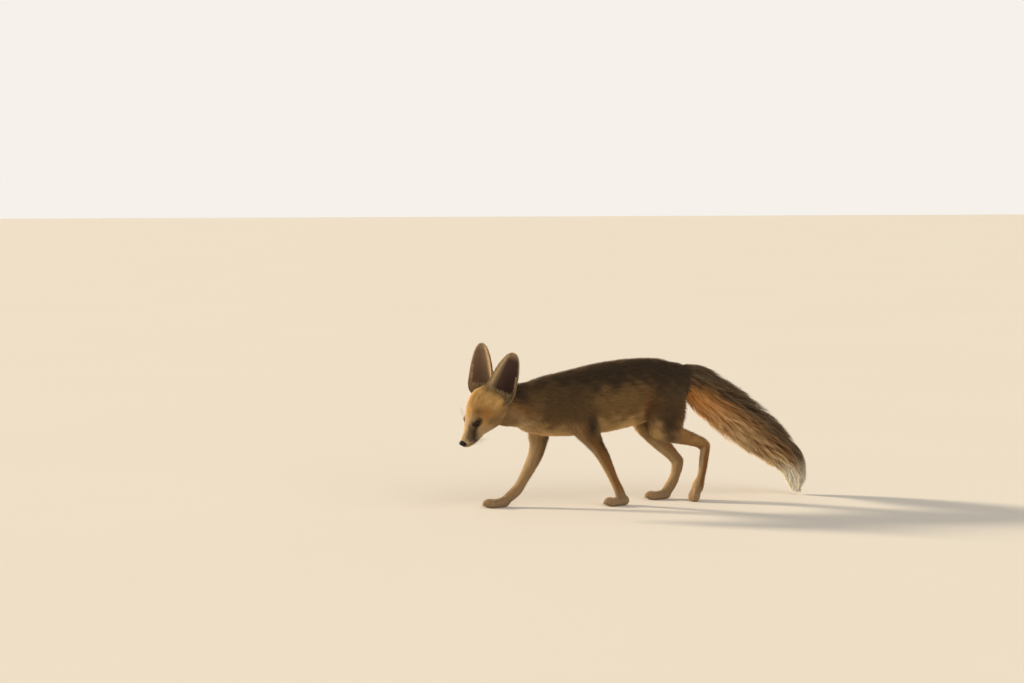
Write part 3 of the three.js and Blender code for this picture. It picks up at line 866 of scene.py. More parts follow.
def split_faces(points, faces, chosen):
    """Each chosen four-cornered face becomes four, and its neighbours stay joined to it."""
    mesh = bpy.data.meshes.new("split")
    mesh.from_pydata(points.tolist(), [], true_faces(faces))
    work = bmesh.new()
    work.from_mesh(mesh)
    work.faces.ensure_lookup_table()
    edges = {edge for i in np.nonzero(chosen)[0] for edge in work.faces[int(i)].edges}
    bmesh.ops.subdivide_edges(work, edges=list(edges), cuts=1, use_grid_fill=True)
    bmesh.ops.triangulate(work, faces=[face for face in work.faces if len(face.verts) > 4])
    work.to_mesh(mesh)
    work.free()
    points = np.array([v.co for v in mesh.vertices], float)
    corners = [tuple(p.vertices) for p in mesh.polygons]
    bpy.data.meshes.remove(mesh)
    return points, np.array([(*c, c[-1])[:4] for c in corners], np.int64)


def true_faces(faces):
    """Faces of three or four corners from an array in which a triangle repeats its last corner."""
    return [face[:3] if face[3] == face[2] else face for face in faces.tolist()]


def neighbour_mean(values, edges, count):
    """The mean of the values at each point's neighbours along edges of a mesh."""
    total = [np.bincount(edges[:, 0], values[edges[:, 1], i], len(values)) for i in range(3)]
    return np.stack(total, 1) / count


def relax(points, faces, rounds):
    """Evens out a mesh without shrinking it much."""
    edges = np.vstack([faces[:, [i, (i + 1) % 4]] for i in range(4)])
    edges = edges[edges[:, 0] != edges[:, 1]]
    count = np.maximum(np.bincount(edges[:, 0], minlength=len(points)), 1)[:, None]
    for k in range(rounds):
        points = points + (0.5 if k % 2 == 0 else -0.52) * (neighbour_mean(points, edges, count) - points)
    return points


def even(values, faces, rounds):
    """Spreads vectors at the points of a mesh over their neighbours."""
    edges = np.vstack([faces[:, [i, (i + 1) % 4]] for i in range(4)])
    count = np.bincount(edges[:, 0], minlength=len(values))[:, None]
    for _ in range(rounds):
        values = 0.4 * values + 0.6 * neighbour_mean(values, edges, count)
    return values


class Body:
    """What the pieces share: the skin's field, its mesh, its normals and the lie of its coat."""

    field = None
    points = None
    faces = None
    normals = None
    flow = None
    lift = None


UNDER_TONE = 0.8  # the under coat is darker than the tips over it


def build_skin(colours):
    """Shapes the skin, marks it and keeps it for the coat."""
    field = skin_field()
    points, faces = field.surface(0.0, step=2)
    points = relax(field.pull(points, 0.0, 2), faces, 4)
    for head_back, paw_height in ((108, 24), (58, None)):  # finer on the head and paws, then again on the face
        middle = points[faces].mean(1)
        _, on_head, hx = coat_depth(*middle.T)
        chosen = (on_head > 0.3) & (hx < head_back)
        if paw_height:
            chosen |= middle[:, 2] < paw_height
        points, faces = split_faces(points, faces, chosen)
    points = relax(field.pull(points, 0.0, 2), faces, 2)
    points = points + vertex_normals(points, faces) * mouth_relief(points)[:, None]
    Body.field, Body.points, Body.faces, Body.normals = field, points, faces, vertex_normals(points, faces)
    flow = even(lie_of_coat(points), faces, 24)
    Body.flow, Body.lift = flow, unit(even(Body.normals, faces, 8))
    paint = markings(points, colours) * UNDER_TONE
    return skin_piece(points, faces, paint, corner_layout(points, faces))


def mouth_relief(points):
    """How far the skin stands out at the lips, and lies in between them."""
    local = head_local(points)
    inside = smooth(local[:, 0], 44, 36) * smooth(np.abs(local[:, 1]), 0.5, 2.0) * smooth(local[:, 0], 2, 6)
    groove = 1.3 * np.exp(-((near_mouth(local) / 0.9) ** 2)) * inside
    lip = 0.5 * np.exp(-(((near_mouth(local) - 2.2) / 1.1) ** 2)) * inside
    return np.where(head_share(points) > 0.5, lip - groove, 0)


def corner_layout(points, faces):
    """Each face corner's place on the flat layout, with no face torn across the seam of its rectangle."""
    chart, _ = unwrap(points[faces].mean(1))
    corner_chart = np.repeat(chart, 4)
    _, uv = unwrap(points[faces.ravel()], corner_chart)
    turn = uv[:, 1].reshape(-1, 4)
    turn = turn - np.round(turn - turn[:, :1])
    uv[:, 1] = turn.ravel()
    return on_chart(corner_chart, uv)


def skin_piece(points, faces, paint, corner_uv):
    """The skin as one piece, of triangles and four-cornered faces."""
    keep = np.ones(faces.shape, bool)
    keep[:, 3] = faces[:, 3] != faces[:, 2]
    mesh = bpy.data.meshes.new("skin")
    mesh.from_pydata(to_row(points).tolist(), [], true_faces(faces))
    keep_paint(mesh, "coat", paint)
    keep_layout(mesh, corner_uv[keep.ravel()])
    mesh.shade_smooth()
    mesh.materials.append(hair_material("under_coat", bump=0.6, grain=700.0))
    piece = add_object("skin", mesh)
    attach(piece, "root")
    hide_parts(*FLESH)
    return piece


# ---- Markings


def markings(points, colours):
    """The colours of the coat at points of the design frame, as linear values."""
    c = palette(colours)
    x, y, z = points.T
    cloud = wave(points, 34, 5) * 0.05 + wave(points, 12, 6) * 0.03
    paint = trunk_markings(c, x, y, z, cloud)
    for (name, side), line in LEG_LINES.items():
        distance, offset, _, _ = follow(points, line)
        away = unit(offset)
        ahead, outer = -away[:, 0], away[:, 1] * side
        high, low = (172, 118) if name == "foreleg" else (138, 96)
        here = smooth(distance, 48, 24) * smooth(z, high, low) * smooth(y * side, -2, 8)
        pale = np.clip(0.75 * smooth(ahead, 0.2, 0.9) + 0.4 * smooth(outer, 0.1, -0.8), 0, 1)
        leg = mix(c["leg"], c["cream"], pale)
        if name == "hindleg":
            leg = mix(leg, c["rufous"], smooth(ahead, 0.1, -0.6) * smooth(z, 60, 120) * 0.6)
        else:
            # painted shade on the back of the forelegs above the wrist
            leg = mix(leg, c["shade"], smooth(ahead, -0.1, -0.8) * smooth(z, 60, 100) * 0.45)
        leg = mix(leg, c["paw"], smooth(z, 40, 14))
        paint = mix(paint, leg, here)
        # spots of painted shade, and of rufous hair, on the outer side of each leg
        for place, reach, colour, strength in SPOTS[name]:
            near = (points - np.array(place) * (1, side, 1) - SPOT_MOVES[name, side]) / reach
            paint = mix(paint, c[colour], np.exp(-(near**2).sum(1)) * strength * smooth(y * side, 4, 14))
    distance, offset, direction, share = follow(points, TAIL_LINE)
    side = across(np.broadcast_to([0.0, 1.0, 0.0], direction.shape), direction)
    topside = (unit(offset) * np.cross(direction, side)).sum(1)
    tail = mix(tail_paint(c, share, topside, cloud), c["tail_tip"], smooth(share, 0.76, 0.9))
    paint = mix(paint, tail, smooth(share, 0.1, 0.16) * smooth(distance, 60, 45) * smooth(x, 108, 124))
    return mix(paint, head_markings(points, c), head_share(points))


def trunk_markings(c, x, y, z, cloud):
    """Pale belly, sandy sides, a darker haunch, dark back and rump, a rufous line along the spine, and the neck, with
    painted shade low on the shoulder and on top of the neck.
    """
    top = np.interp(x, [-262, -215, -148, -32, 50, 104], [222, 231, 245, 266, 270, 262])
    bottom = np.interp(x, [-262, -192, -112, -32, 24, 60, 104], [158, 138, 126, 136, 142, 116, 108])
    level = (z - bottom) / (top - bottom) + cloud
    shoulder = smooth(x, -215, -165) * smooth(x, -75, -115)
    haunch = smooth(x + 0.3 * (z - 190) + 220 * cloud, -12, 62)
    paint = mix(c["belly"], c["flank"], smooth(level, 0.0, 0.34))
    # painted shade low on the shoulder, and a darker haunch
    shade_and_haunch = np.clip(0.75 * shoulder * smooth(level, 0.0, 0.42) + 0.85 * haunch * smooth(level, 0.02, 0.35), 0, 1)
    paint = mix(paint, mix(c["flank"], c["back"], 0.8), shade_and_haunch)
    saddle = smooth(level, 0.5, 0.8) * smooth(x, -150, -70) + smooth(level, 0.72, 0.95)
    paint = mix(paint, c["back"], np.clip(saddle, 0, 1))
    paint = mix(paint, c["ridge"], smooth(level, 0.93, 1.03) * smooth(np.abs(y), 26, 6) * 0.35)
    # the top of the neck takes the back's colour darkened further, as painted shade
    nape = mix(mix(c["cream"], c["neck"], smooth(level, 0.0, 0.5)), c["back"] * 0.72, smooth(level, 0.4, 0.72))
    return mix(paint, nape, smooth(x, -175, -232))


def tail_paint(c, share, topside, cloud):
    """Dark above, brown between and orange below, and the colour of the rump at its root."""
    under = mix(c["tail_under"], c["leg"], smooth(share, 0.12, 0.5) * 0.8)
    body = mix(under, mix(under, c["tail_top"], 0.55), smooth(topside + cloud, -0.8, -0.15))
    body = mix(body, c["tail_top"], smooth(topside + cloud, -0.1, 0.5))
    root = np.clip(smooth(share, 0.02, 0.16) + smooth(topside, 0.2, -0.5), 0, 1)
    return mix(mix(c["back"], c["tail_top"], 0.5), body, root)


SPOT_MOVES = {  # how far each leg's spots lie from those of the near leg
    ("foreleg", LEFT): np.zeros(3),
    ("foreleg", RIGHT): np.array([-62.0, 0, -6]),
    ("hindleg", LEFT): np.zeros(3),
    ("hindleg", RIGHT): np.array([-16.0, 0, 4]),
}
# The spots are painted shade, except the rufous hair at the back of the thigh
SPOTS = {  # place, reach, colour and strength
    "foreleg": [
        # a darker shoulder low down: painted shade in the neck's colour
        ((-123, 40, 138), (28, 30, 24), "neck", 0.8),
        # painted shade at the elbow and behind it
        ((-86, 40, 152), (15, 30, 30), "shade", 1.0),
        ((-64, 34, 126), (9, 20, 22), "shade", 0.75),
    ],
    "hindleg": [
        # painted shade in the fold of the flank
        ((26, 40, 170), (10, 30, 32), "rufous", 0.6),
        ((28, 40, 166), (10, 30, 30), "shade", 0.8),
        # painted shade over the lower thigh
        ((74, 38, 150), (30, 30, 24), "shade", 0.6),
        ((74, 38, 121), (24, 30, 17), "shade", 0.7),
        # rufous hair at the back of the thigh
        ((104, 34, 146), (16, 30, 26), "rufous", 0.7),
    ],
}


TEAR_LINE = np.array([(43, 0, 11), (37, 0, 5.5), (30, 0, 0), (25, 0, -6), (23, 0, -13)], float)


def patch(x, z, place, reach):
    """1 at a place of the head seen from the side, easing to 0 round it."""
    return np.exp(-(((x - place[0]) / reach[0]) ** 2 + ((z - place[1]) / reach[1]) ** 2))


def head_markings(points, c):
    """Golden crown, dark tear line and eye patch, pale lips and cheeks, rufous behind the eye, and painted shade on
    the lower cheeks and the sides of the muzzle.
    """
    local = head_local(points)
    x, y, z = local.T
    outer = np.abs(y)
    streak = 0.06 * wave(points, 7, 41) + 0.08 * wave(points, 17, 42)
    paint = mix(c["cream"], c["face"], smooth(z, -14, 4) * smooth(x, 20, 55))
    # painted shade over the lower cheeks, in the neck's colour
    paint = mix(paint, mix(c["neck"], c["shade"], 0.2), smooth(z, 14, -6) * smooth(x, 42, 70) * 0.85)
    paint = mix(paint, c["muzzle"], smooth(x, 54, 34) * smooth(z, -15, -7))
    # painted shade along the sides of the muzzle
    muzzle_side_shade = smooth(x, 10, 18) * smooth(x, 40, 30) * smooth(outer, 4.5, 8) * smooth(z, -13, -7)
    paint = mix(paint, c["shade"], muzzle_side_shade * 0.66)
    paint = mix(paint, c["cream"], smooth(outer, 6, 2) * smooth(z, 3, 9) * smooth(x, 60, 36) * 0.5)
    behind = patch(x, z, (68, 14), (13, 7.5)) * smooth(outer, 12, 20)
    paint = mix(paint, c["rufous"], behind * 0.7)
    above = patch(x, z, (60, 24), (14, 7)) * smooth(outer, 7, 14)
    paint = mix(paint, mix(c["rufous"], c["shade"], 0.45), above * 0.7)
    brow = patch(x, z, (50, 23.5), (7, 3.0)) * smooth(outer, 6, 10)
    paint = mix(paint, c["cream"], brow * 0.45)
    middle = smooth(outer, 11, 4) * smooth(x, 52, 70) * smooth(x, 110, 86)
    paint = mix(paint, c["back"], middle * (0.3 + streak))
    crown = smooth(x, 94, 112) * smooth(z, 10, 26)
    paint = mix(paint, c["back"], crown * 0.75)
    flat = np.column_stack([x, np.zeros(len(x)), z])
    tear = np.exp(-((follow(flat, TEAR_LINE)[0] / 5.0) ** 2)) * smooth(outer, 4, 7.5)
    paint = mix(paint, c["tear"], tear * 0.88)
    eye = np.linalg.norm((np.column_stack([x, outer, z]) - EYE_PLACE - (-2.0, 1.5, 0.5)) / (12, 10, 7.4), axis=1)
    paint = mix(paint, c["tear"], smooth(eye, 1.25, 0.62) * 0.92)
    paint = paint * (1 + streak)[:, None]
    lip = np.exp(-((near_mouth(local) / 1.5) ** 2)) * smooth(x, 44, 36)
    paint = mix(paint, c["tear"] * 0.5, lip * 0.9)
    return mix(paint, c["tear"] * 0.4, smooth(x, 9.5, 7.0) * smooth(z, -8, -5))


# ---- Tufts


def scatter(points, faces, density, draw):
    """Evenly spread places on a mesh: which triangle, and the shares of its three corners."""
    triangles = halves(faces)
    order = np.argsort(np.concatenate([np.arange(len(faces))] * 2), kind="stable")
    triangles = triangles[order]
    a, b, c = (points[triangles[:, i]] for i in range(3))
    area = np.linalg.norm(np.cross(b - a, c - a), axis=1) / 2 * density[triangles].mean(1)
    total = np.cumsum(area)
    count = int(total[-1])
    place = (np.arange(count) + draw.uniform(0, 1, count)) * (total[-1] / count)
    triangle = np.minimum(np.searchsorted(total, place), len(total) - 1)
    u, v = draw.uniform(0, 1, (2, count))
    over = u + v > 1
    u[over], v[over] = 1 - u[over], 1 - v[over]
    return triangles[triangle], np.column_stack([1 - u - v, u, v])


def on_mesh(values, corners, shares):
    """Values kept at a mesh's points, read at scattered places."""
    return (values[corners] * shares[:, :, None]).sum(1)


def tuft_mesh(path, up, width, thickness, paint, tones, uv, side_share=0.45):
    """Closed three-sided tufts along paths (tuft, step, place), the last step being the tip."""
    count, steps = path.shape[:2]
    rings = steps - 1
    along = unit(np.diff(path, axis=1))
    lift = across(up[:, :rings], along)
    side = np.cross(along, lift)
    ring = np.stack(
        [
            path[:, :rings] + lift * thickness[:, :rings, None],
            path[:, :rings] + side * width[:, :rings, None] / 2,
            path[:, :rings] - side * width[:, :rings, None] / 2,
        ],
        2,
    )
    corner_normal = np.stack([lift, mix(lift, side, side_share), mix(lift, -side, side_share)], 2)
    points = np.concatenate([ring.reshape(count, -1, 3), path[:, rings:]], 1)
    normals = np.concatenate([corner_normal.reshape(count, -1, 3), up[:, rings:]], 1)
    pattern = [(0, 2, 1)]
    for k in range(rings - 1):
        for i in range(3):
            a, b = 3 * k + i, 3 * k + (i + 1) % 3
            pattern += [(a, b, b + 3), (a, b + 3, a + 3)]
    last = 3 * (rings - 1)
    pattern += [(last + i, last + (i + 1) % 3, 3 * rings) for i in range(3)]
    size = 3 * rings + 1
    faces = (np.array(pattern)[None] + np.arange(count)[:, None, None] * size).reshape(-1, 3)
    step_of = np.array([k for k in range(rings) for _ in range(3)] + [rings])
    paint = np.clip(paint[:, None, :] * tones[:, step_of, None], 0, 1) if paint.ndim == 2 else paint[:, step_of]
    patch_x = np.array([0, 1, -1] * rings + [0]) * PATCH / 2
    patch_y = (step_of / rings - 0.5) * PATCH
    uv = uv[:, None, :] + np.stack([patch_x, patch_y], 1)[None]
    return points.reshape(-1, 3), faces, paint.reshape(-1, 3), uv.reshape(-1, 2), unit(normals).reshape(-1, 3)


PATCH = 0.003  # the size of a tuft's patch on the flat layout
SINK = 0.8  # how deep the root of a tuft lies in the skin


def tuft_piece(name, tufts, material):
    """A piece from the arrays of its tufts."""
    points, faces, paint, uv, normals = tufts
    return make_piece(name, points, faces, material, paint, uv=uv, normals=normals)

def tuft_paths(roots, normals, flow, length, height, field, steps):
    """Paths of hair that rise from the skin and lie along it."""
    path, up = [], []
    for k in range(steps):
        s = k / (steps - 1)
        raised = height * (1 - (1 - s) ** 1.7) - SINK * (1 - s)
        place = roots + flow * (length * s)[:, None] + normals * raised[:, None]
        slope = normals
        if k:
            place = field.pull(place, raised)
            slope = unit(field.at(place)[1] + normals * 0.5)
        path.append(place)
        up.append(slope)
    return within_box(np.stack(path, 1)), np.stack(up, 1)


BEYOND = 1.5  # how far the hair may pass the solids' box
LOWEST = 0.3  # the least height of the hair over the floor


def within_box(points):
    """Points no further out than just beyond the solids' box, and none below the floor."""
    low, high = (to_design(corner) for corner in CAD_BOX)
    return np.clip(points, np.append(low[:2] - BEYOND, LOWEST), high + BEYOND)


def coat_style(points, coat):
    """Length, width, height and density of the tufts, from the part of the body."""
    depth, on_head, hx = coat_depth(*points.T)
    z = points[:, 2]
    on_leg = smooth(z, 165, 105)
    on_paw = smooth(z, 36, 18)
    length = between(coat.body_length * 1000, coat.leg_length * 1000, on_leg)
    length = between(length, 6.5, on_paw)
    throat = smooth(points[:, 0], -150, -210) * smooth(z, 200, 165)
    length = length * (1 + 0.2 * throat)
    face = coat.face_length * 1000 * (0.45 + 0.65 * smooth(hx, 8, 56)) + 6 * smooth(hx, 74, 110)
    body_width = coat.body_width * 1000
    width = between(between(body_width, 0.75 * body_width, on_leg), 0.62 * body_width, on_paw)
    face_width = 0.5 + 0.3 * smooth(hx, 40, 105)
    density = between(between(coat.body_density, 2.1 * coat.body_density, on_leg), 3.4 * coat.body_density, on_paw)
    face_density = 3.6 - 2.0 * smooth(hx, 50, 105)
    local = head_local(points)
    for side in SIDES.values():
        beside = smooth(lid_share(local, side), 2.6, 1.5) * (np.linalg.norm(local - eye_centre(side), axis=1) < 14)
        face = between(face, 2.2, beside)
        face_width = between(face_width, 0.34, beside)
        face_density = between(face_density, 5.5, beside)
    return (
        between(length, face, on_head),
        between(width, face_width, on_head),
        depth,
        between(density, face_density, on_head),
    )


def bare(points):
    """Where no hair grows: nose leather, eye openings, the line of the mouth and the pads."""
    local = head_local(points)
    nose = np.linalg.norm((local - (3.6, 0, -0.4)) / (5.0, 6.0, 4.9), axis=1) < 1
    mouth = (near_mouth(local) < 0.8) & (local[:, 0] < 38) & (local[:, 0] > -8) & (np.abs(local[:, 2]) < 30)
    eyes = np.zeros(len(points), bool)
    for side in SIDES.values():
        eyes |= (lid_share(local, side) < 1.45) & (np.linalg.norm(local - eye_centre(side), axis=1) < 11)
    distance, _, _, share = follow(points, TAIL_LINE)
    on_tail = (share > 0.14) & (distance < 45) & (points[:, 0] > 100)
    return nose | (mouth & (head_share(points) > 0.5)) | eyes | on_tail | (points[:, 2] < 1.0)


PIECE_TRIANGLES = 190000  # the most in one piece of coat


def build_coat(coat, colours):
    """The short coat of the head, body and legs, in pieces that stay below the limit."""
    draw = np.random.default_rng(coat.seed)
    points, faces = Body.points, Body.faces
    _, _, _, density = coat_style(points, coat)
    corners, shares = scatter(points, faces, density, draw)
    roots = on_mesh(points, corners, shares)
    normals = unit(on_mesh(Body.lift, corners, shares))
    lie = on_mesh(Body.flow, corners, shares)
    kept = ~bare(roots)
    roots, normals, lie = roots[kept], normals[kept], lie[kept]
    length, width, height, _ = coat_style(roots, coat)
    flow = across(lie, normals)
    side = np.cross(normals, flow)
    swing = 0.13 * wave(roots, 45, 21) + 0.07 * wave(roots, 14, 22) + draw.normal(0, 0.1, len(roots))
    flow = unit(flow + side * swing[:, None])
    length = length * draw.uniform(0.75, 1.2, len(roots)) * (1 + 0.08 * wave(roots, 18, 23))
    height = height * draw.uniform(0.7, 1.2, len(roots)) * (1 + 0.04 * wave(roots, 16, 24))
    width = width * draw.uniform(0.75, 1.25, len(roots))
    paint = markings(roots + flow * length[:, None] * 0.4, colours)
    grey = smooth(roots[:, 2], 120, 160) * (1 - head_share(roots))
    strand = draw.normal(0, 0.09, len(roots)) + 0.05 * wave(roots, 9, 25)
    dark_tip = (draw.uniform(0, 1, len(roots)) < 0.12) & (grey > 0.5)
    # each tuft is darker at its root, as painted shade between the tufts, and its strand tone varies at random
    tones = np.stack([np.full(len(roots), 0.8), 0.97 + strand, 1.1 + strand], 1)
    tones[dark_tip, 2] *= 0.68
    tones[dark_tip, 1] *= 0.9
    chart, uv = unwrap(roots)
    uv = on_chart(chart, uv)
    on_head = head_share(roots) > 0.5
    x, z = roots[:, 0], roots[:, 2]
    low = z < 128
    groups = {
        "head": on_head,
        "forelegs": ~on_head & low & (x < -20),
        "hindlegs": ~on_head & low & (x >= -20),
        "trunk": ~on_head & ~low,
    }
    material = hair_material("coat_hair", bump=0.0)
    pieces = []
    for name, chosen in groups.items():
        long = name == "trunk"
        steps = 3 if long else 2
        triangles_each = 6 * steps - 8
        chosen = np.nonzero(chosen)[0]
        chosen = chosen[np.argsort(x[chosen], kind="stable")]
        parts = np.array_split(chosen, -(-len(chosen) // (PIECE_TRIANGLES // triangles_each)))
        for k, part in enumerate(parts):
            where = (roots[part], normals[part], flow[part])
            path, up = tuft_paths(*where, length[part], height[part], Body.field, steps)
            wide = width[part, None] * np.array([0.85, 1.0] if long else [1.15])
            tone = tones[part] if long else tones[part][:, [0, 2]]
            tufts = tuft_mesh(path, up, wide, wide * 0.3, paint[part], tone, uv[part])
            label = f"coat_{name}_{k + 1}" if len(parts) > 1 else f"coat_{name}"
            pieces.append(tuft_piece(label, tufts, material))
    return pieces


TAIL_SPAN = 330.0  # millimetres along the tail that count as its whole length
TIPS_BEYOND = 6  # how far the locks may pass the solids' box behind


def build_tail(coat, colours):
    """The brush: fine locks in clumps, from the core out to the tail's outline."""
    draw = np.random.default_rng(coat.seed + 1)
    c = palette(colours)
    count = coat.tail_locks
    clumps = count // 16
    clump_t = draw.uniform(-0.04, 0.95, clumps)
    clump_angle = draw.uniform(0, 2 * math.pi, clumps)
    clump_span = draw.uniform(0.8, 1.2, clumps)
    clump_sway = draw.normal(0, 0.10, clumps)
    stray = draw.uniform(-0.6, 1.9, count)
    clump_reach = 1.03 - np.minimum(np.abs(draw.normal(0, 0.13, clumps)), 0.3)
    which = np.arange(count) % clumps
    t0 = clump_t[which] + draw.normal(0, 0.014, count)
    angle0 = clump_angle[which] + draw.normal(0, 0.12, count)
    under = smooth(-np.sin(angle0), -0.1, 0.75)
    span = coat.tail_length * 1000 / TAIL_SPAN * clump_span[which] * draw.uniform(0.85, 1.1, count)
    span = span * (1 - 0.3 * under)
    span = span * (0.62 + 0.38 * smooth(t0, 0.0, 0.25))
    angle1 = clump_angle[which] + clump_sway[which] + draw.normal(0, 0.028, count)
    reach = clump_reach[which] - np.abs(draw.normal(0, 0.03, count))
    root_share = between(0.74, 0.5, smooth(np.maximum(t0, 0), 0.0, 0.3)) - 0.05
    steps = 4
    path = []
    for k in range(steps):
        s = k / (steps - 1)
        t = t0 + span * s
        angle = angle0 + (angle1 - angle0) * s**1.3
        share = root_share + (reach - root_share) * s**0.75
        path.append(brush_at(np.maximum(t, -0.05), angle, share * (1 + 0.35 * smooth(t, 0.86, 1.0) * stray)))
    path = np.stack(path, 1)
    path = np.minimum(path, np.array([to_design(CAD_BOX[1])[0] + TIPS_BEYOND, 1e3, 1e3]))
    path[:, :, 2] = np.maximum(path[:, :, 2], 2.0)
    up = unit(path - curve_at(TAIL_LINE, np.clip(t0 + span * 0.6, 0, 1))[:, None])
    topside = np.sin(angle0)
    cloud = 0.12 * wave(path[:, 2], 26, 31)
    body = tail_paint(c, t0, topside, cloud)
    fringe = mix(body, c["tail_tip"] * (1, 0.84, 0.6), np.clip(under * smooth(t0, 0.0, 0.3) * 0.8 + 0.1, 0, 1))
    ends = mix(fringe, c["tail_top"] * 0.62, smooth(topside, 0.35, 0.85) * 0.55)
    ragged = draw.normal(0, 0.045, count)
    paint = []
    for k in range(steps):
        s = k / (steps - 1)
        # each lock is darker towards its root, its white end too, as painted shade deep in the brush
        shade = mix(body * (0.7 + 0.35 * min(1.0, s * 2)), ends, smooth(np.array([s]), 0.45, 1.0)[0])
        white = smooth(t0 + span * s + 0.07 * under - 0.04 * topside + ragged, 0.77, 0.94)
        paint.append(mix(shade, c["tail_tip"] * (0.92 + 0.08 * s), white))
    strand = 1 + draw.normal(0, 0.12, count)
    paint = np.clip(np.stack(paint, 1) * strand[:, None, None], 0, 1)
    width = draw.uniform(0.75, 1.45, count)[:, None] * np.array([0.8, 1.0, 0.8])
    uv = np.column_stack([np.clip(t0, 0, 1), (angle0 / (2 * math.pi)) % 1])
    uv = on_chart(np.full(count, TAIL_CHART), uv)
    material = hair_material("tail_hair", bump=0.0, roughness=0.7, sheen=0.5)
    halves_of_tail = np.array_split(np.argsort(t0, kind="stable"), 2)
    kinds = [("tail_hair_root", ["tail_base"], "tail_coat"), ("tail_hair_end", ["tail_brush", "tail_tip"], "tip_coat")]
    pieces = []
    for part, (label, replaced, slot) in zip(halves_of_tail, kinds):
        tufts = tuft_mesh(path[part], up[part], width[part], width[part] * 0.35, paint[part], None, uv[part], 0.6)
        piece = tuft_piece(label, tufts, material)
        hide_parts(*replaced)
        pieces.append(piece)
    return pieces


# ---- Ears

EAR_LENGTH = 104.0
EAR_HALF_WIDTH = 27.5
EAR_THICKNESS = 2.2
EAR_STEP = 0.01  # the share of an ear's height or turn over which its direction is measured
EARS = {  # root, tip and the way it opens, in the head frame
    "ear_left": ((88, -24, 8), (182, -36, 56), (-0.38, -0.82, 0.63)),
    "ear_right": ((93, 24, 11), (173, 36, 79), (-0.6, -0.4, 0.8)),
}


def ear_axes(ear):
    """The root of an ear, its axis, the way it opens and the way across, in the design frame."""
    root, tip, facing = (np.array(v, float) for v in EARS[ear])
    axis = unit(tip - root)
    opening = across(facing, axis)
    return head_point(*root), HEAD_TURN @ axis, HEAD_TURN @ opening, HEAD_TURN @ np.cross(axis, opening)


def outer_turn(ear):
    """The sign of the turn on an ear's outer side, away from the crown."""
    _, _, _, sideways = ear_axes(ear)
    out = -1 if ear == "ear_left" else 1
    return 1.0 if (sideways @ HEAD_TURN[:, 1]) * out > 0 else -1.0


def ear_at(ear, reach, turn, inset):
    """Points of an ear's cup: a share of its height, a turn from -1 to 1 round it, and a depth in its wall."""
    root, axis, opening, sideways = ear_axes(ear)
    half = EAR_HALF_WIDTH * np.sqrt(np.maximum(1 - reach**2.2, 0)) * (0.72 + 0.28 * np.minimum(1, reach / 0.3))
    half = half * (1 - 0.5 * smooth(reach, 0.2, 0.0) * smooth(turn * outer_turn(ear), -0.2, 0.6))
    deep = (3.2 + 18 * np.maximum(1 - reach, 0) ** 1.3) * np.minimum(1, half / 7)
    outward_share = turn * outer_turn(ear)
    curl = 27 * smooth(outward_share, 0.0, 0.5) + 16 * smooth(outward_share, 0.0, -0.5)
    curl = 40 - curl * smooth(reach, 0.3, 0.05)
    angle = np.radians(88 + curl * np.maximum(1 - reach, 0) ** 3) * turn
    ridges = 0.35 * np.cos(turn * 11) * smooth(reach, 0.15, 0.3) * smooth(reach, 0.9, 0.6) * smooth(inset, 0, 1)
    cut = inset * np.sqrt(np.maximum(1 - np.abs(turn) ** 5, 0.03)) * np.minimum(1, half / 9 + 0.15) + ridges
    return (
        root
        + axis * (EAR_LENGTH * reach)[:, None]
        + sideways * (np.sin(angle) * (half - cut))[:, None]
        - opening * (np.cos(angle) * (deep - cut))[:, None]
    )


def build_ear(ear, coat, colours):
    """One ear: its thin cup with a rolled rim, and its hair outside, inside and along the rim."""
    c = palette(colours)
    side = LEFT if ear == "ear_left" else RIGHT
    rows, columns = 64, 33
    height = np.linspace(0.02, 1, rows)
    reach = np.repeat(np.sin(height * math.pi / 2) * 0.5 + height * 0.5, 2 * columns)
    turns = np.linspace(-1, 1, columns)
    turn = np.tile(np.concatenate([turns, turns[::-1]]), rows)
    inset = np.tile(np.concatenate([np.zeros(columns), np.full(columns, EAR_THICKNESS)]), rows)
    points = ear_at(ear, np.minimum(reach, 0.9995), turn, inset)
    loop = 2 * columns
    faces = grid_faces(rows, loop)
    caps = [
        np.array([(base + i, base + i + 1, base + loop - 2 - i, base + loop - 1 - i) for i in range(columns - 1)])
        for base in (0, (rows - 1) * loop)
    ]
    caps[0] = caps[0][:, ::-1]
    faces = np.vstack([faces, *caps])
    a, b, d = points[faces[:, 0]], points[faces[:, 1]], points[faces[:, 2]]
    if (np.cross(b - a, d - a) * (a - points.mean(0))).sum() < 0:
        faces = faces[:, ::-1]
    rim = np.exp(-((1 - np.abs(turn)) / 0.06)) + smooth(reach, 0.965, 0.998)
    hollow = smooth(np.abs(turn + 0.24 * side), 0.88, 0.44) * smooth(reach, 1.0, 0.84)
    # the left ear's cup is painted darker than the right's, as painted shade
    deep = c["ear_inside"] * 0.8 if side == LEFT else mix(c["ear_inside"], c["muzzle"] * 0.6, 0.4)
    inner = mix(c["muzzle"] * 0.62, deep, hollow)
    # painted shadow deep in the cup, stronger on the left ear
    shadow = smooth(np.abs(turn + 0.3 * side), 0.55, 0.1) * smooth(reach, 0.85, 0.5)
    inner = mix(inner, deep * (0.5, 0.3, 0.28), shadow * (0.9 if side == LEFT else 0.5))
    paint = mix(c["ear_back"], inner, (inset > 0).astype(float))
    paint = mix(paint, c["cream"], np.clip(rim, 0, 1) * 0.7)
    uv = ear_layout(turn, reach, inset)
    material = hair_material(ear + "_skin", bump=0.25, roughness=0.62, sheen=0.1, grain=1400.0)
    cup = make_piece(ear + "_cup", points, faces, material, paint, uv=uv)
    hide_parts(ear)
    return [cup, ear_hair(ear, side, coat, c)]


def ear_layout(turn, reach, inset):
    """Places on the flat layout of an ear: its outside in one half and its inside in the other."""
    return np.column_stack([turn * 0.24 + 0.25 + 0.5 * (inset > 0), reach]) * 0.96 + 0.02


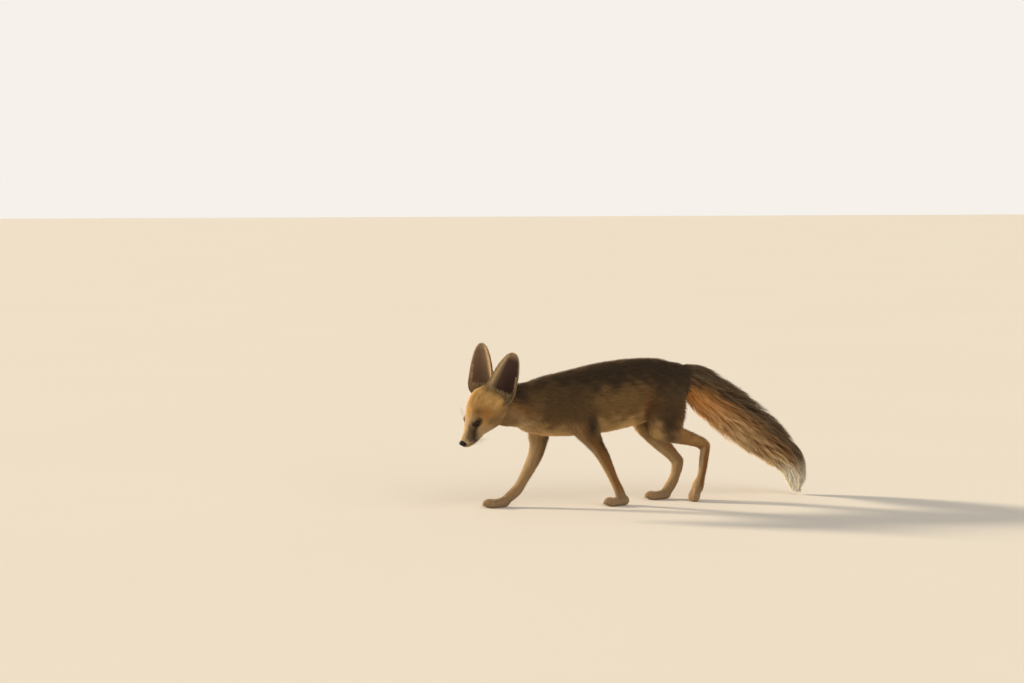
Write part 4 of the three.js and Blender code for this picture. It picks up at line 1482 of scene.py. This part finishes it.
def ear_hair(ear, side, coat, c):
    """Short hair on the back, a fringe on the rim, and long pale hair from the cup's edges and base."""
    draw = np.random.default_rng(coat.seed + 5 + side)
    root, axis, opening, _ = ear_axes(ear)
    pale = mix(c["cream"], c["muzzle"], 0.4)
    bare_skin = mix(c["ear_inside"], c["muzzle"], 0.03)
    wall = EAR_THICKNESS
    kinds = {  # count, reach, |turn|, inset, length, width, lift, colour
        "back": (3800, (0.03, 0.93), (0.0, 0.93), 0.0, (3.2, 5.2), 0.7, 0.2, mix(c["ear_back"], c["face"], 0.2)),
        "rim": (1300, (0.06, 0.995), (0.92, 1.0), 0.4, (2.4, 4.6), 0.42, 0.35, mix(c["cream"], c["face"], 0.25)),
        "front": (1000, (0.08, 0.9), (0.66, 0.97), wall, (4, 8.5), 0.45, 0.3, pale),
        "edge": (450, (0.05, 0.60), (0.72, 0.97), wall, (3, 6), 0.4, 0.3, mix(pale, c["shade"], 0.2)),
        "inner": (900, (0.10, 0.97), (0.0, 0.85), wall, (1.6, 2.8), 0.36, 0.15, bare_skin),
        # the hair at the base of the cup is darkened with the shade colour, as painted shade
        "base": (800, (0.06, 0.24), (0.0, 0.95), wall, (8, 15), 0.5, 0.45, mix(c["cream"], c["shade"], 0.35)),
    }
    joined = []
    for name, (count, reach_span, turn_span, inset, lengths, width, lift, colour) in kinds.items():
        reach = draw.uniform(*reach_span, count)
        turn = draw.uniform(*turn_span, count) * draw.choice([-1.0, 1.0], count)
        if name in ("front", "edge"):
            turn = np.abs(turn) * (side if name == "front" else -side)
        depth = np.full(count, float(inset))
        here = ear_at(ear, reach, turn, depth)
        above, below = np.minimum(reach + EAR_STEP, 0.998), reach - EAR_STEP
        along = unit(ear_at(ear, above, turn, depth) - ear_at(ear, below, turn, depth))
        onward, back = np.minimum(turn + EAR_STEP, 1.0), np.maximum(turn - EAR_STEP, -1.0)
        round_ = unit(ear_at(ear, reach, onward, depth) - ear_at(ear, reach, back, depth))
        normal = unit(np.cross(along, round_))
        middle = root + axis * (EAR_LENGTH * reach)[:, None] + opening * 6
        toward = unit(middle - here) if inset else unit(here - middle)
        normal = normal * np.sign((normal * toward).sum(1) + 1e-9)[:, None]
        flow = along + round_ * draw.normal(0, 0.2, count)[:, None]
        if name == "rim":
            flow = along * 0.75 + round_ * np.sign(turn)[:, None] * 0.45 + opening * 0.2
        if name in ("front", "edge"):
            flow = along * 0.9 - round_ * (np.sign(turn) * 0.5)[:, None] + opening * 0.2
        if name == "base":
            flow = along * 0.9 + opening * 0.35 - round_ * (np.sign(turn) * 0.3)[:, None]
        flow = unit(flow + draw.normal(0, 0.12, (count, 3)))
        length = draw.uniform(*lengths, count) * (1 - 0.35 * reach)
        bend = normal * (length * lift)[:, None]
        half_way = here + flow * (length * 0.5)[:, None] + bend * 0.6
        tip = here + flow * length[:, None] + bend * 0.7
        path = np.stack([here - normal * 0.4, half_way, tip], 1)
        up = np.repeat(normal[:, None], 3, 1)
        wide = (width * draw.uniform(0.8, 1.2, count))[:, None] * np.array([0.9, 1.0])
        # each hair is darker at its root, as painted shade
        tones = np.array([0.75, 1.0, 1.08]) * draw.normal(1, 0.1, count)[:, None]
        paint = np.broadcast_to(colour, (count, 3))
        joined.append(tuft_mesh(path, up, wide, wide * 0.3, paint, tones, ear_layout(turn, reach, depth)))
    faces, start = [], 0
    for part in joined:
        faces.append(part[1] + start)
        start += len(part[0])
    points, paint, uv, normals = (np.vstack([part[i] for part in joined]) for i in (0, 2, 3, 4))
    material = hair_material(ear + "_hair", bump=0.0, roughness=0.7, sheen=0.3)
    return tuft_piece(ear + "_hair", (points, np.vstack(faces), paint, uv, normals), material)


# ---- Eyes and lids


def eye_axes(side):
    """The way an eye looks, the way from its front to its back corner, and its own up, in the head frame."""
    length = np.array([0.687, side * 0.641, 0.342])
    gaze = across(np.array([-0.65, side * 0.74, 0.18]), unit(length))
    length = unit(length)
    up = np.cross(gaze, length)
    return gaze, length, up * np.sign(up[2])


def eye_direction(side, a, b):
    """Directions from the middle of the eye, a radians towards its back corner and b upwards."""
    gaze, length, up = eye_axes(side)
    r = np.sqrt(a**2 + b**2)
    s = np.sin(r) / np.maximum(r, 1e-6)
    return np.cos(r)[:, None] * gaze + s[:, None] * (a[:, None] * length + b[:, None] * up)


def to_design_head(local):
    """Points of the head frame in the design frame, many at once."""
    return NOSE_TIP + local @ HEAD_TURN.T


def build_eye(name, side):
    """A dark eyeball with a brown iris, an upright slit pupil and a raised glossy front."""
    rows, columns = 48, 64
    theta, phi = ball_angles(rows, columns)
    a, b = theta * np.cos(phi), theta * np.sin(phi)
    bulge = EYE_RADIUS * (1 + 0.05 * np.exp(-((theta / 0.5) ** 4)))
    gaze = eye_axes(side)[0]
    local = eye_centre(side) + eye_direction(side, a, b) * bulge[:, None]
    front = eye_centre(side) + gaze * EYE_RADIUS * 1.05
    back = eye_centre(side) - gaze * EYE_RADIUS
    points = to_design_head(np.vstack([local, front, back]))
    triangles = ball_triangles(rows, columns)
    theta, a, b = (np.concatenate([v, [e, f]]) for v, e, f in ((theta, 0, math.pi), (a, 0, math.pi), (b, 0, 0)))
    streak = 0.5 + 0.5 * np.sin(np.arctan2(b, a) * 41) * np.sin(np.arctan2(b, a) * 17 + 1)
    iris = mix(np.array(srgb(78, 46, 20)), np.array(srgb(40, 22, 11)), streak * 0.6)
    iris = mix(iris, np.array(srgb(40, 24, 14)), smooth(theta, 0.5, 0.66))
    paint = mix(iris, np.array(srgb(34, 24, 20)), smooth(theta, 0.68, 0.75))
    slit = np.sqrt((a / 0.27) ** 2 + (b / 0.48) ** 2)
    paint = mix(paint, np.array([0.003, 0.003, 0.003]), smooth(slit, 1.15, 0.9))
    material = painted_material(name, "eye", roughness=0.08, gloss=0.2)
    eye = make_piece(name + "_ball", points, outward(points, triangles), material, paint, attribute="eye")
    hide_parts(name)
    return eye


def build_lids(name, side):
    """Dark lids: a closed rim round the almond opening, running out under the hair."""
    columns = 72
    rho = np.array([1.0, 1.02, 1.06, 1.12, 1.2, 1.32, 1.5, 1.75, 1.75, 1.4, 1.0])
    radius = np.array([6.75, 7.0, 7.25, 7.45, 7.6, 7.65, 7.45, 6.9, 6.0, 5.9, 6.1])
    rings, outer_rings = len(rho), 7
    phi = np.tile(np.arange(columns) / columns * 2 * math.pi, rings)
    rho, radius = np.repeat(rho, columns), np.repeat(radius, columns)
    a = LID_HALF[0] * rho * np.cos(phi) * (1 + 0.06 * np.abs(np.cos(phi)) ** 6)
    b = LID_HALF[1] * rho * np.sin(phi) * np.where(np.sin(phi) > 0, 1.0, 0.9) * (1 - 0.2 * np.cos(phi) ** 2)
    local = eye_centre(side) + eye_direction(side, a, b) * radius[:, None]
    points = to_design_head(local)
    ring = np.arange(columns)
    beside, last = (ring + 1) % columns, (rings - 1) * columns
    faces = np.vstack([grid_faces(rings, columns), np.column_stack([ring + last, beside + last, beside, ring])])
    corner = points[faces]
    spin = np.cross(corner[:, 1] - corner[:, 0], corner[:, 2] - corner[:, 0])
    outer = np.arange(len(faces)) < outer_rings * columns
    middle = to_design_head(eye_centre(side)[None])
    if (spin * (corner[:, 0] - middle))[outer].sum() < 0:
        faces = faces[:, ::-1]
    paint = mix(np.array(srgb(18, 13, 10)), np.array(srgb(46, 32, 22)), smooth(rho, 1.2, 1.8))
    material = painted_material(name + "_lid", "eye", roughness=0.6, gloss=0.12, grain=1500.0, bump=0.3)
    uv = np.column_stack([phi / (2 * math.pi), np.repeat(np.linspace(0, 1, rings), columns)]) * 0.9 + 0.05
    return make_piece(name.replace("eye", "lids"), points, faces, material, paint, uv=uv, attribute="eye")


def build_nose():
    """The nose leather with comma-shaped nostrils and the groove below."""
    rows, columns = 56, 80
    theta, phi = ball_angles(rows, columns)
    way = np.column_stack([-np.cos(theta), np.sin(theta) * np.cos(phi), np.sin(theta) * np.sin(phi)])
    way = np.vstack([way, [-1, 0, 0], [1, 0, 0]])
    size = np.array([4.6, 5.3, 4.3])
    local = way * size
    front = smooth(-way[:, 0], 0.1, 0.5)
    dent = np.zeros(len(way))
    for side in SIDES.values():
        out, up = way[:, 1] * side, way[:, 2]
        dent += 2.4 * np.exp(-(((out - 0.45) / 0.19) ** 2) - ((up + 0.04) / 0.18) ** 2) * front
        slit = 0.02 + 0.55 * (out - 0.42) ** 2
        dent += 0.9 * np.exp(-(((up - slit - 0.03) / 0.09) ** 2)) * smooth(out, 0.4, 0.5) * smooth(out, 0.86, 0.7)
    dent += 0.55 * np.exp(-((way[:, 1] / 0.06) ** 2)) * smooth(way[:, 2], 0.15, -0.15) * front
    bulge = 0.35 * np.exp(-(((np.abs(way[:, 1]) - 0.62) / 0.25) ** 2) - ((way[:, 2] - 0.15) / 0.3) ** 2)
    local = local - unit(way / size) * (dent - bulge)[:, None] + (4.7, 0, -0.4)
    points = to_design_head(local)
    triangles = outward(points, ball_triangles(rows, columns))
    nose = make_piece("nose_leather", points, triangles, leather_material())
    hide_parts("nose")
    return nose


# ---- Claws and whiskers, tubes that a node tree sweeps along their paths


def tube_tree():
    """A node tree that sweeps a tapering round bar along each line of a mesh."""
    tree = bpy.data.node_groups.new("tapering_bar", "GeometryNodeTree")
    face = tree.interface
    face.new_socket("Geometry", in_out="INPUT", socket_type="NodeSocketGeometry")
    inputs = {}
    sockets = (
        ("Thickness", "NodeSocketFloat", 0.001),
        ("Taper", "NodeSocketFloat", 1.0),
        ("Sides", "NodeSocketInt", 8),
    )
    for name, kind, value in sockets:
        inputs[name] = face.new_socket(name, in_out="INPUT", socket_type=kind)
        inputs[name].default_value = value
    face.new_socket("Material", in_out="INPUT", socket_type="NodeSocketMaterial")
    face.new_socket("Geometry", in_out="OUTPUT", socket_type="NodeSocketGeometry")
    start = tree.nodes.new("NodeGroupInput")
    curve = tree.nodes.new("GeometryNodeMeshToCurve")
    share = tree.nodes.new("GeometryNodeSplineParameter")
    power = add_node(tree, "ShaderNodeMath", operation="POWER")
    rest = add_node(tree, "ShaderNodeMath", operation="SUBTRACT")
    rest.inputs[0].default_value = 1.02
    scaled = add_node(tree, "ShaderNodeMath", operation="MULTIPLY")
    circle = tree.nodes.new("GeometryNodeCurvePrimitiveCircle")
    circle.inputs["Radius"].default_value = 0.5
    sweep = tree.nodes.new("GeometryNodeCurveToMesh")
    sweep.inputs["Fill Caps"].default_value = True
    realize = tree.nodes.new("GeometryNodeRealizeInstances")
    paint = tree.nodes.new("GeometryNodeSetMaterial")
    end = tree.nodes.new("NodeGroupOutput")
    link = tree.links.new
    link(start.outputs["Geometry"], curve.inputs["Mesh"])
    link(share.outputs["Factor"], power.inputs[0])
    link(start.outputs["Taper"], power.inputs[1])
    link(power.outputs[0], rest.inputs[1])
    link(rest.outputs[0], scaled.inputs[0])
    link(start.outputs["Thickness"], scaled.inputs[1])
    link(start.outputs["Sides"], circle.inputs["Resolution"])
    link(curve.outputs["Curve"], sweep.inputs["Curve"])
    link(scaled.outputs[0], sweep.inputs["Scale"])
    link(circle.outputs["Curve"], sweep.inputs["Profile Curve"])
    link(sweep.outputs["Mesh"], realize.inputs["Geometry"])
    link(realize.outputs["Geometry"], paint.inputs["Geometry"])
    link(start.outputs["Material"], paint.inputs["Material"])
    link(paint.outputs["Geometry"], end.inputs["Geometry"])
    return tree


def swept_piece(name, lines, material, slot, **inputs):
    """Tapering bars along lines of the design frame, as one plain mesh."""
    steps = len(lines[0])
    points = to_row(np.vstack(lines))
    edges = [(k * steps + i, k * steps + i + 1) for k in range(len(lines)) for i in range(steps - 1)]
    mesh = bpy.data.meshes.new(name + "_lines")
    mesh.from_pydata(points.tolist(), edges, [])
    holder = add_object(name + "_lines", mesh)
    tree = bpy.data.node_groups.get("tapering_bar") or tube_tree()
    modifier = holder.modifiers.new("bars", "NODES")
    modifier.node_group = tree
    sockets = {item.name: item.identifier for item in tree.interface.items_tree if item.in_out == "INPUT"}
    for key, value in {**inputs, "Material": material}.items():
        modifier[sockets[key]] = value
    made = bpy.data.meshes.new_from_object(holder.evaluated_get(bpy.context.evaluated_depsgraph_get()))
    bpy.data.objects.remove(holder)
    made.name = name
    made.shade_smooth()
    piece = add_object(name, made)
    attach(piece, "root")
    return piece


CLAW_STEPS = 7
CLAW_LOWEST = 0.6  # millimetres over the floor


def build_claws():
    """Four curved claws on each paw."""
    lines = []
    s = np.linspace(0, 1, CLAW_STEPS)
    for x, side, lift, tilt, out in PAWS:
        turn = paw_turn(side, tilt)
        for spread, reach in TOES:
            width = np.full(CLAW_STEPS, spread * 1.05)
            local = np.column_stack([-reach + 4.5 - 7.5 * s, width, 6.4 + 0.8 * s - 4.6 * s**2])
            line = local @ turn.T + (x, side * out, lift)
            line[:, 2] = np.maximum(line[:, 2], CLAW_LOWEST)
            lines.append(line)
    return swept_piece("claws", lines, horn_material(), "nose", Thickness=0.0023, Taper=1.6, Sides=10)


def build_whiskers(seed):
    """Fine whiskers on both sides of the muzzle and a few over the eyes."""
    draw = np.random.default_rng(seed)
    lines = []
    s = np.linspace(0, 1, 9)[:, None]
    for side in SIDES.values():
        for row in range(4):
            for k in range(4):
                root = np.array([13.0 + 4.2 * k, side * (7.3 + 1.1 * k), -12.5 + 2.9 * row - 0.6 * k])
                way = unit(np.array([0.45 + 0.1 * k, side * 0.85, -0.35 + 0.16 * row]) + draw.normal(0, 0.07, 3))
                length = draw.uniform(17, 27) + 4 * (row == 1)
                sag = np.array([0.25, 0, -0.35]) * length
                lines.append(to_design_head(root + way * length * s + sag * s**2 * 0.5))
        for k in range(3):
            root = np.array([45.0 + 3 * k, side * 15.0, 22.0 + k])
            way = unit(np.array([0.2, side * 0.45, 0.85]) + draw.normal(0, 0.08, 3))
            lines.append(to_design_head(root + way * draw.uniform(12, 18) * s + np.array([5.0, 0, 0]) * s**2))
    return swept_piece("whiskers", lines, whisker_material(), "nose", Thickness=0.00034, Taper=2.0, Sides=5)


# ---- Stage

FOCAL_PIXELS = 2100.0
FRAME_WIDTH = 1024
CAMERA_PLACE = (-1443.2, -3596.2, 579.6)
CAMERA_PITCH = 4.126  # degrees
CAMERA_YAW = 18.71
FLOOR_REACH = 40.0
SKY_COLOUR = (1.0, 0.96, 0.90)
SKY_BAND = {"From Min": 0.08, "From Max": 0.3}  # heights between which the sky changes
SKY_LOW, SKY_HIGH = 2, 0.95  # its strength below and above them
SUNS = {  # the way it shines, width in degrees, colour
    "key": ((-0.45, 1.0, -0.9), 50, (1.0, 0.95, 0.88)),
    "rim": ((1.0, -0.75, -0.42), 8, (1.0, 0.84, 0.62)),
}


def add_sun(name, strength):
    """A distant lamp that shines one way, softened by its width."""
    way, softness, colour = SUNS[name]
    light = bpy.data.lights.new(name, "SUN")
    light.energy, light.angle, light.color = strength, math.radians(softness), colour
    lamp = add_object(name, light)
    lamp.location = (0, 0, 2)
    lamp.rotation_euler = Vector(way).to_track_quat("-Z", "Y").to_euler()


def add_floor(colour):
    """A plain floor with a faint unevenness of tone."""
    mesh = bpy.data.meshes.new("floor")
    corners = [(x * FLOOR_REACH, y * FLOOR_REACH, 0) for x, y in ((-1, -1), (1, -1), (1, 1), (-1, 1))]
    mesh.from_pydata(corners, [], [(0, 1, 2, 3)])
    material, tree, shader = new_material("floor")
    noise = add_texture(tree, "ShaderNodeTexNoise", Scale=1.2, Detail=2.0)
    add_tones(tree, shader, noise.outputs["Fac"], [v * 0.97 for v in colour], colour)
    set_shader(shader, Roughness=0.9, Specular_IOR_Level=0.1)
    mesh.materials.append(material)
    floor = add_object("floor", mesh)


def add_sky(strength):
    """Even light from all round, stronger near the ground than above."""
    world = bpy.data.worlds.new("studio")
    world.use_nodes = True
    tree = world.node_tree
    sky = tree.nodes["Background"]
    sky.inputs["Color"].default_value = (*SKY_COLOUR, 1)
    way = add_node(tree, "ShaderNodeTexCoord")
    height = add_node(tree, "ShaderNodeSeparateXYZ")
    band = add_node(tree, "ShaderNodeMapRange", interpolation_type="SMOOTHSTEP")
    levels = {**SKY_BAND, "To Min": SKY_LOW * strength, "To Max": SKY_HIGH * strength}
    for name, value in levels.items():
        band.inputs[name].default_value = value
    tree.links.new(way.outputs["Generated"], height.inputs["Vector"])
    tree.links.new(height.outputs["Z"], band.inputs["Value"])
    tree.links.new(band.outputs["Result"], sky.inputs["Strength"])
    bpy.context.scene.world = world


def add_camera():
    """The camera of the photograph's view."""
    camera = bpy.data.cameras.new("camera")
    camera.sensor_width = 36
    camera.lens = FOCAL_PIXELS * camera.sensor_width / FRAME_WIDTH
    camera.clip_end = 200
    viewer = add_object("camera", camera)
    pitch, yaw = math.radians(CAMERA_PITCH), math.radians(CAMERA_YAW)
    ahead = Vector((math.sin(yaw) * math.cos(pitch), math.cos(yaw) * math.cos(pitch), -math.sin(pitch)))
    viewer.location = to_row(CAMERA_PLACE)
    viewer.rotation_euler = ahead.to_track_quat("-Z", "Y").to_euler()
    bpy.context.scene.camera = viewer


def build_stage(stage):
    """A plain pale floor, soft lights and the camera."""
    add_floor(stage.floor)
    add_sky(stage.sky)
    add_sun("key", stage.key)
    add_sun("rim", stage.rim)
    add_camera()
    settings = bpy.context.scene.view_settings
    settings.view_transform = "Standard"
    settings.look = "None"


# ---- Operators, panel and registration


class FOX_OT_skin(bpy.types.Operator):
    """Shape the skin inside the solids and paint its markings"""

    bl_idname = "fox.skin"
    bl_label = "Skin"

    def execute(self, context):
        build_skin(context.scene.fox_colours)
        return {"FINISHED"}


class FOX_OT_coat(bpy.types.Operator):
    """Grow the short coat of the head, body and legs"""

    bl_idname = "fox.coat"
    bl_label = "Coat"

    def execute(self, context):
        build_coat(context.scene.fox_coat, context.scene.fox_colours)
        return {"FINISHED"}


class FOX_OT_tail(bpy.types.Operator):
    """Grow the locks of the tail"""

    bl_idname = "fox.tail"
    bl_label = "Tail hair"

    def execute(self, context):
        build_tail(context.scene.fox_coat, context.scene.fox_colours)
        return {"FINISHED"}


class FOX_OT_ears(bpy.types.Operator):
    """Make both ears with their hair"""

    bl_idname = "fox.ears"
    bl_label = "Ears"

    def execute(self, context):
        for ear in EARS:
            build_ear(ear, context.scene.fox_coat, context.scene.fox_colours)
        return {"FINISHED"}


class FOX_OT_eyes(bpy.types.Operator):
    """Make the eyeballs and their lids"""

    bl_idname = "fox.eyes"
    bl_label = "Eyes"

    def execute(self, context):
        for name, side in SIDES.items():
            build_eye("eye_" + name, side)
            build_lids("eye_" + name, side)
        return {"FINISHED"}


class FOX_OT_nose(bpy.types.Operator):
    """Make the nose leather"""

    bl_idname = "fox.nose"
    bl_label = "Nose"

    def execute(self, context):
        build_nose()
        return {"FINISHED"}


class FOX_OT_claws(bpy.types.Operator):
    """Make the claws of the four paws"""

    bl_idname = "fox.claws"
    bl_label = "Claws"

    def execute(self, context):
        build_claws()
        return {"FINISHED"}


class FOX_OT_whiskers(bpy.types.Operator):
    """Make the whiskers"""

    bl_idname = "fox.whiskers"
    bl_label = "Whiskers"

    def execute(self, context):
        build_whiskers(context.scene.fox_coat.seed)
        return {"FINISHED"}


class FOX_OT_stage(bpy.types.Operator):
    """Set the floor, the lights and the camera"""

    bl_idname = "fox.stage"
    bl_label = "Stage"

    def execute(self, context):
        build_stage(context.scene.fox_stage)
        return {"FINISHED"}


STEPS = (
    FOX_OT_skin,
    FOX_OT_coat,
    FOX_OT_tail,
    FOX_OT_ears,
    FOX_OT_eyes,
    FOX_OT_nose,
    FOX_OT_claws,
    FOX_OT_whiskers,
    FOX_OT_stage,
)


class FOX_PT_panel(bpy.types.Panel):
    """The fox's pieces and their settings"""

    bl_idname = "FOX_PT_panel"
    bl_label = "Sand fox"
    bl_space_type = "VIEW_3D"
    bl_region_type = "UI"
    bl_category = "Sand fox"

    def draw(self, context):
        for step in STEPS:
            self.layout.operator(step.bl_idname)
        for group in (context.scene.fox_coat, context.scene.fox_colours, context.scene.fox_stage):
            box = self.layout.box()
            for name in type(group).__annotations__:
                box.prop(group, name)


SETTINGS = {"fox_colours": FoxColours, "fox_coat": FoxCoat, "fox_stage": FoxStage}


def register():
    """Makes the classes known and hangs the settings on the scene."""
    for kind in (*SETTINGS.values(), *STEPS, FOX_PT_panel):
        bpy.utils.register_class(kind)
    for name, kind in SETTINGS.items():
        setattr(bpy.types.Scene, name, PointerProperty(type=kind))


def unregister():
    """Takes the settings and the classes away again."""
    for name in SETTINGS:
        delattr(bpy.types.Scene, name)
    for kind in (FOX_PT_panel, *reversed(STEPS), *reversed(SETTINGS.values())):
        bpy.utils.unregister_class(kind)


def main():
    """Makes every piece in order."""
    register()
    for step in STEPS:
        getattr(bpy.ops.fox, step.bl_idname.split(".")[1])()


if __name__ == "__main__":
    main()
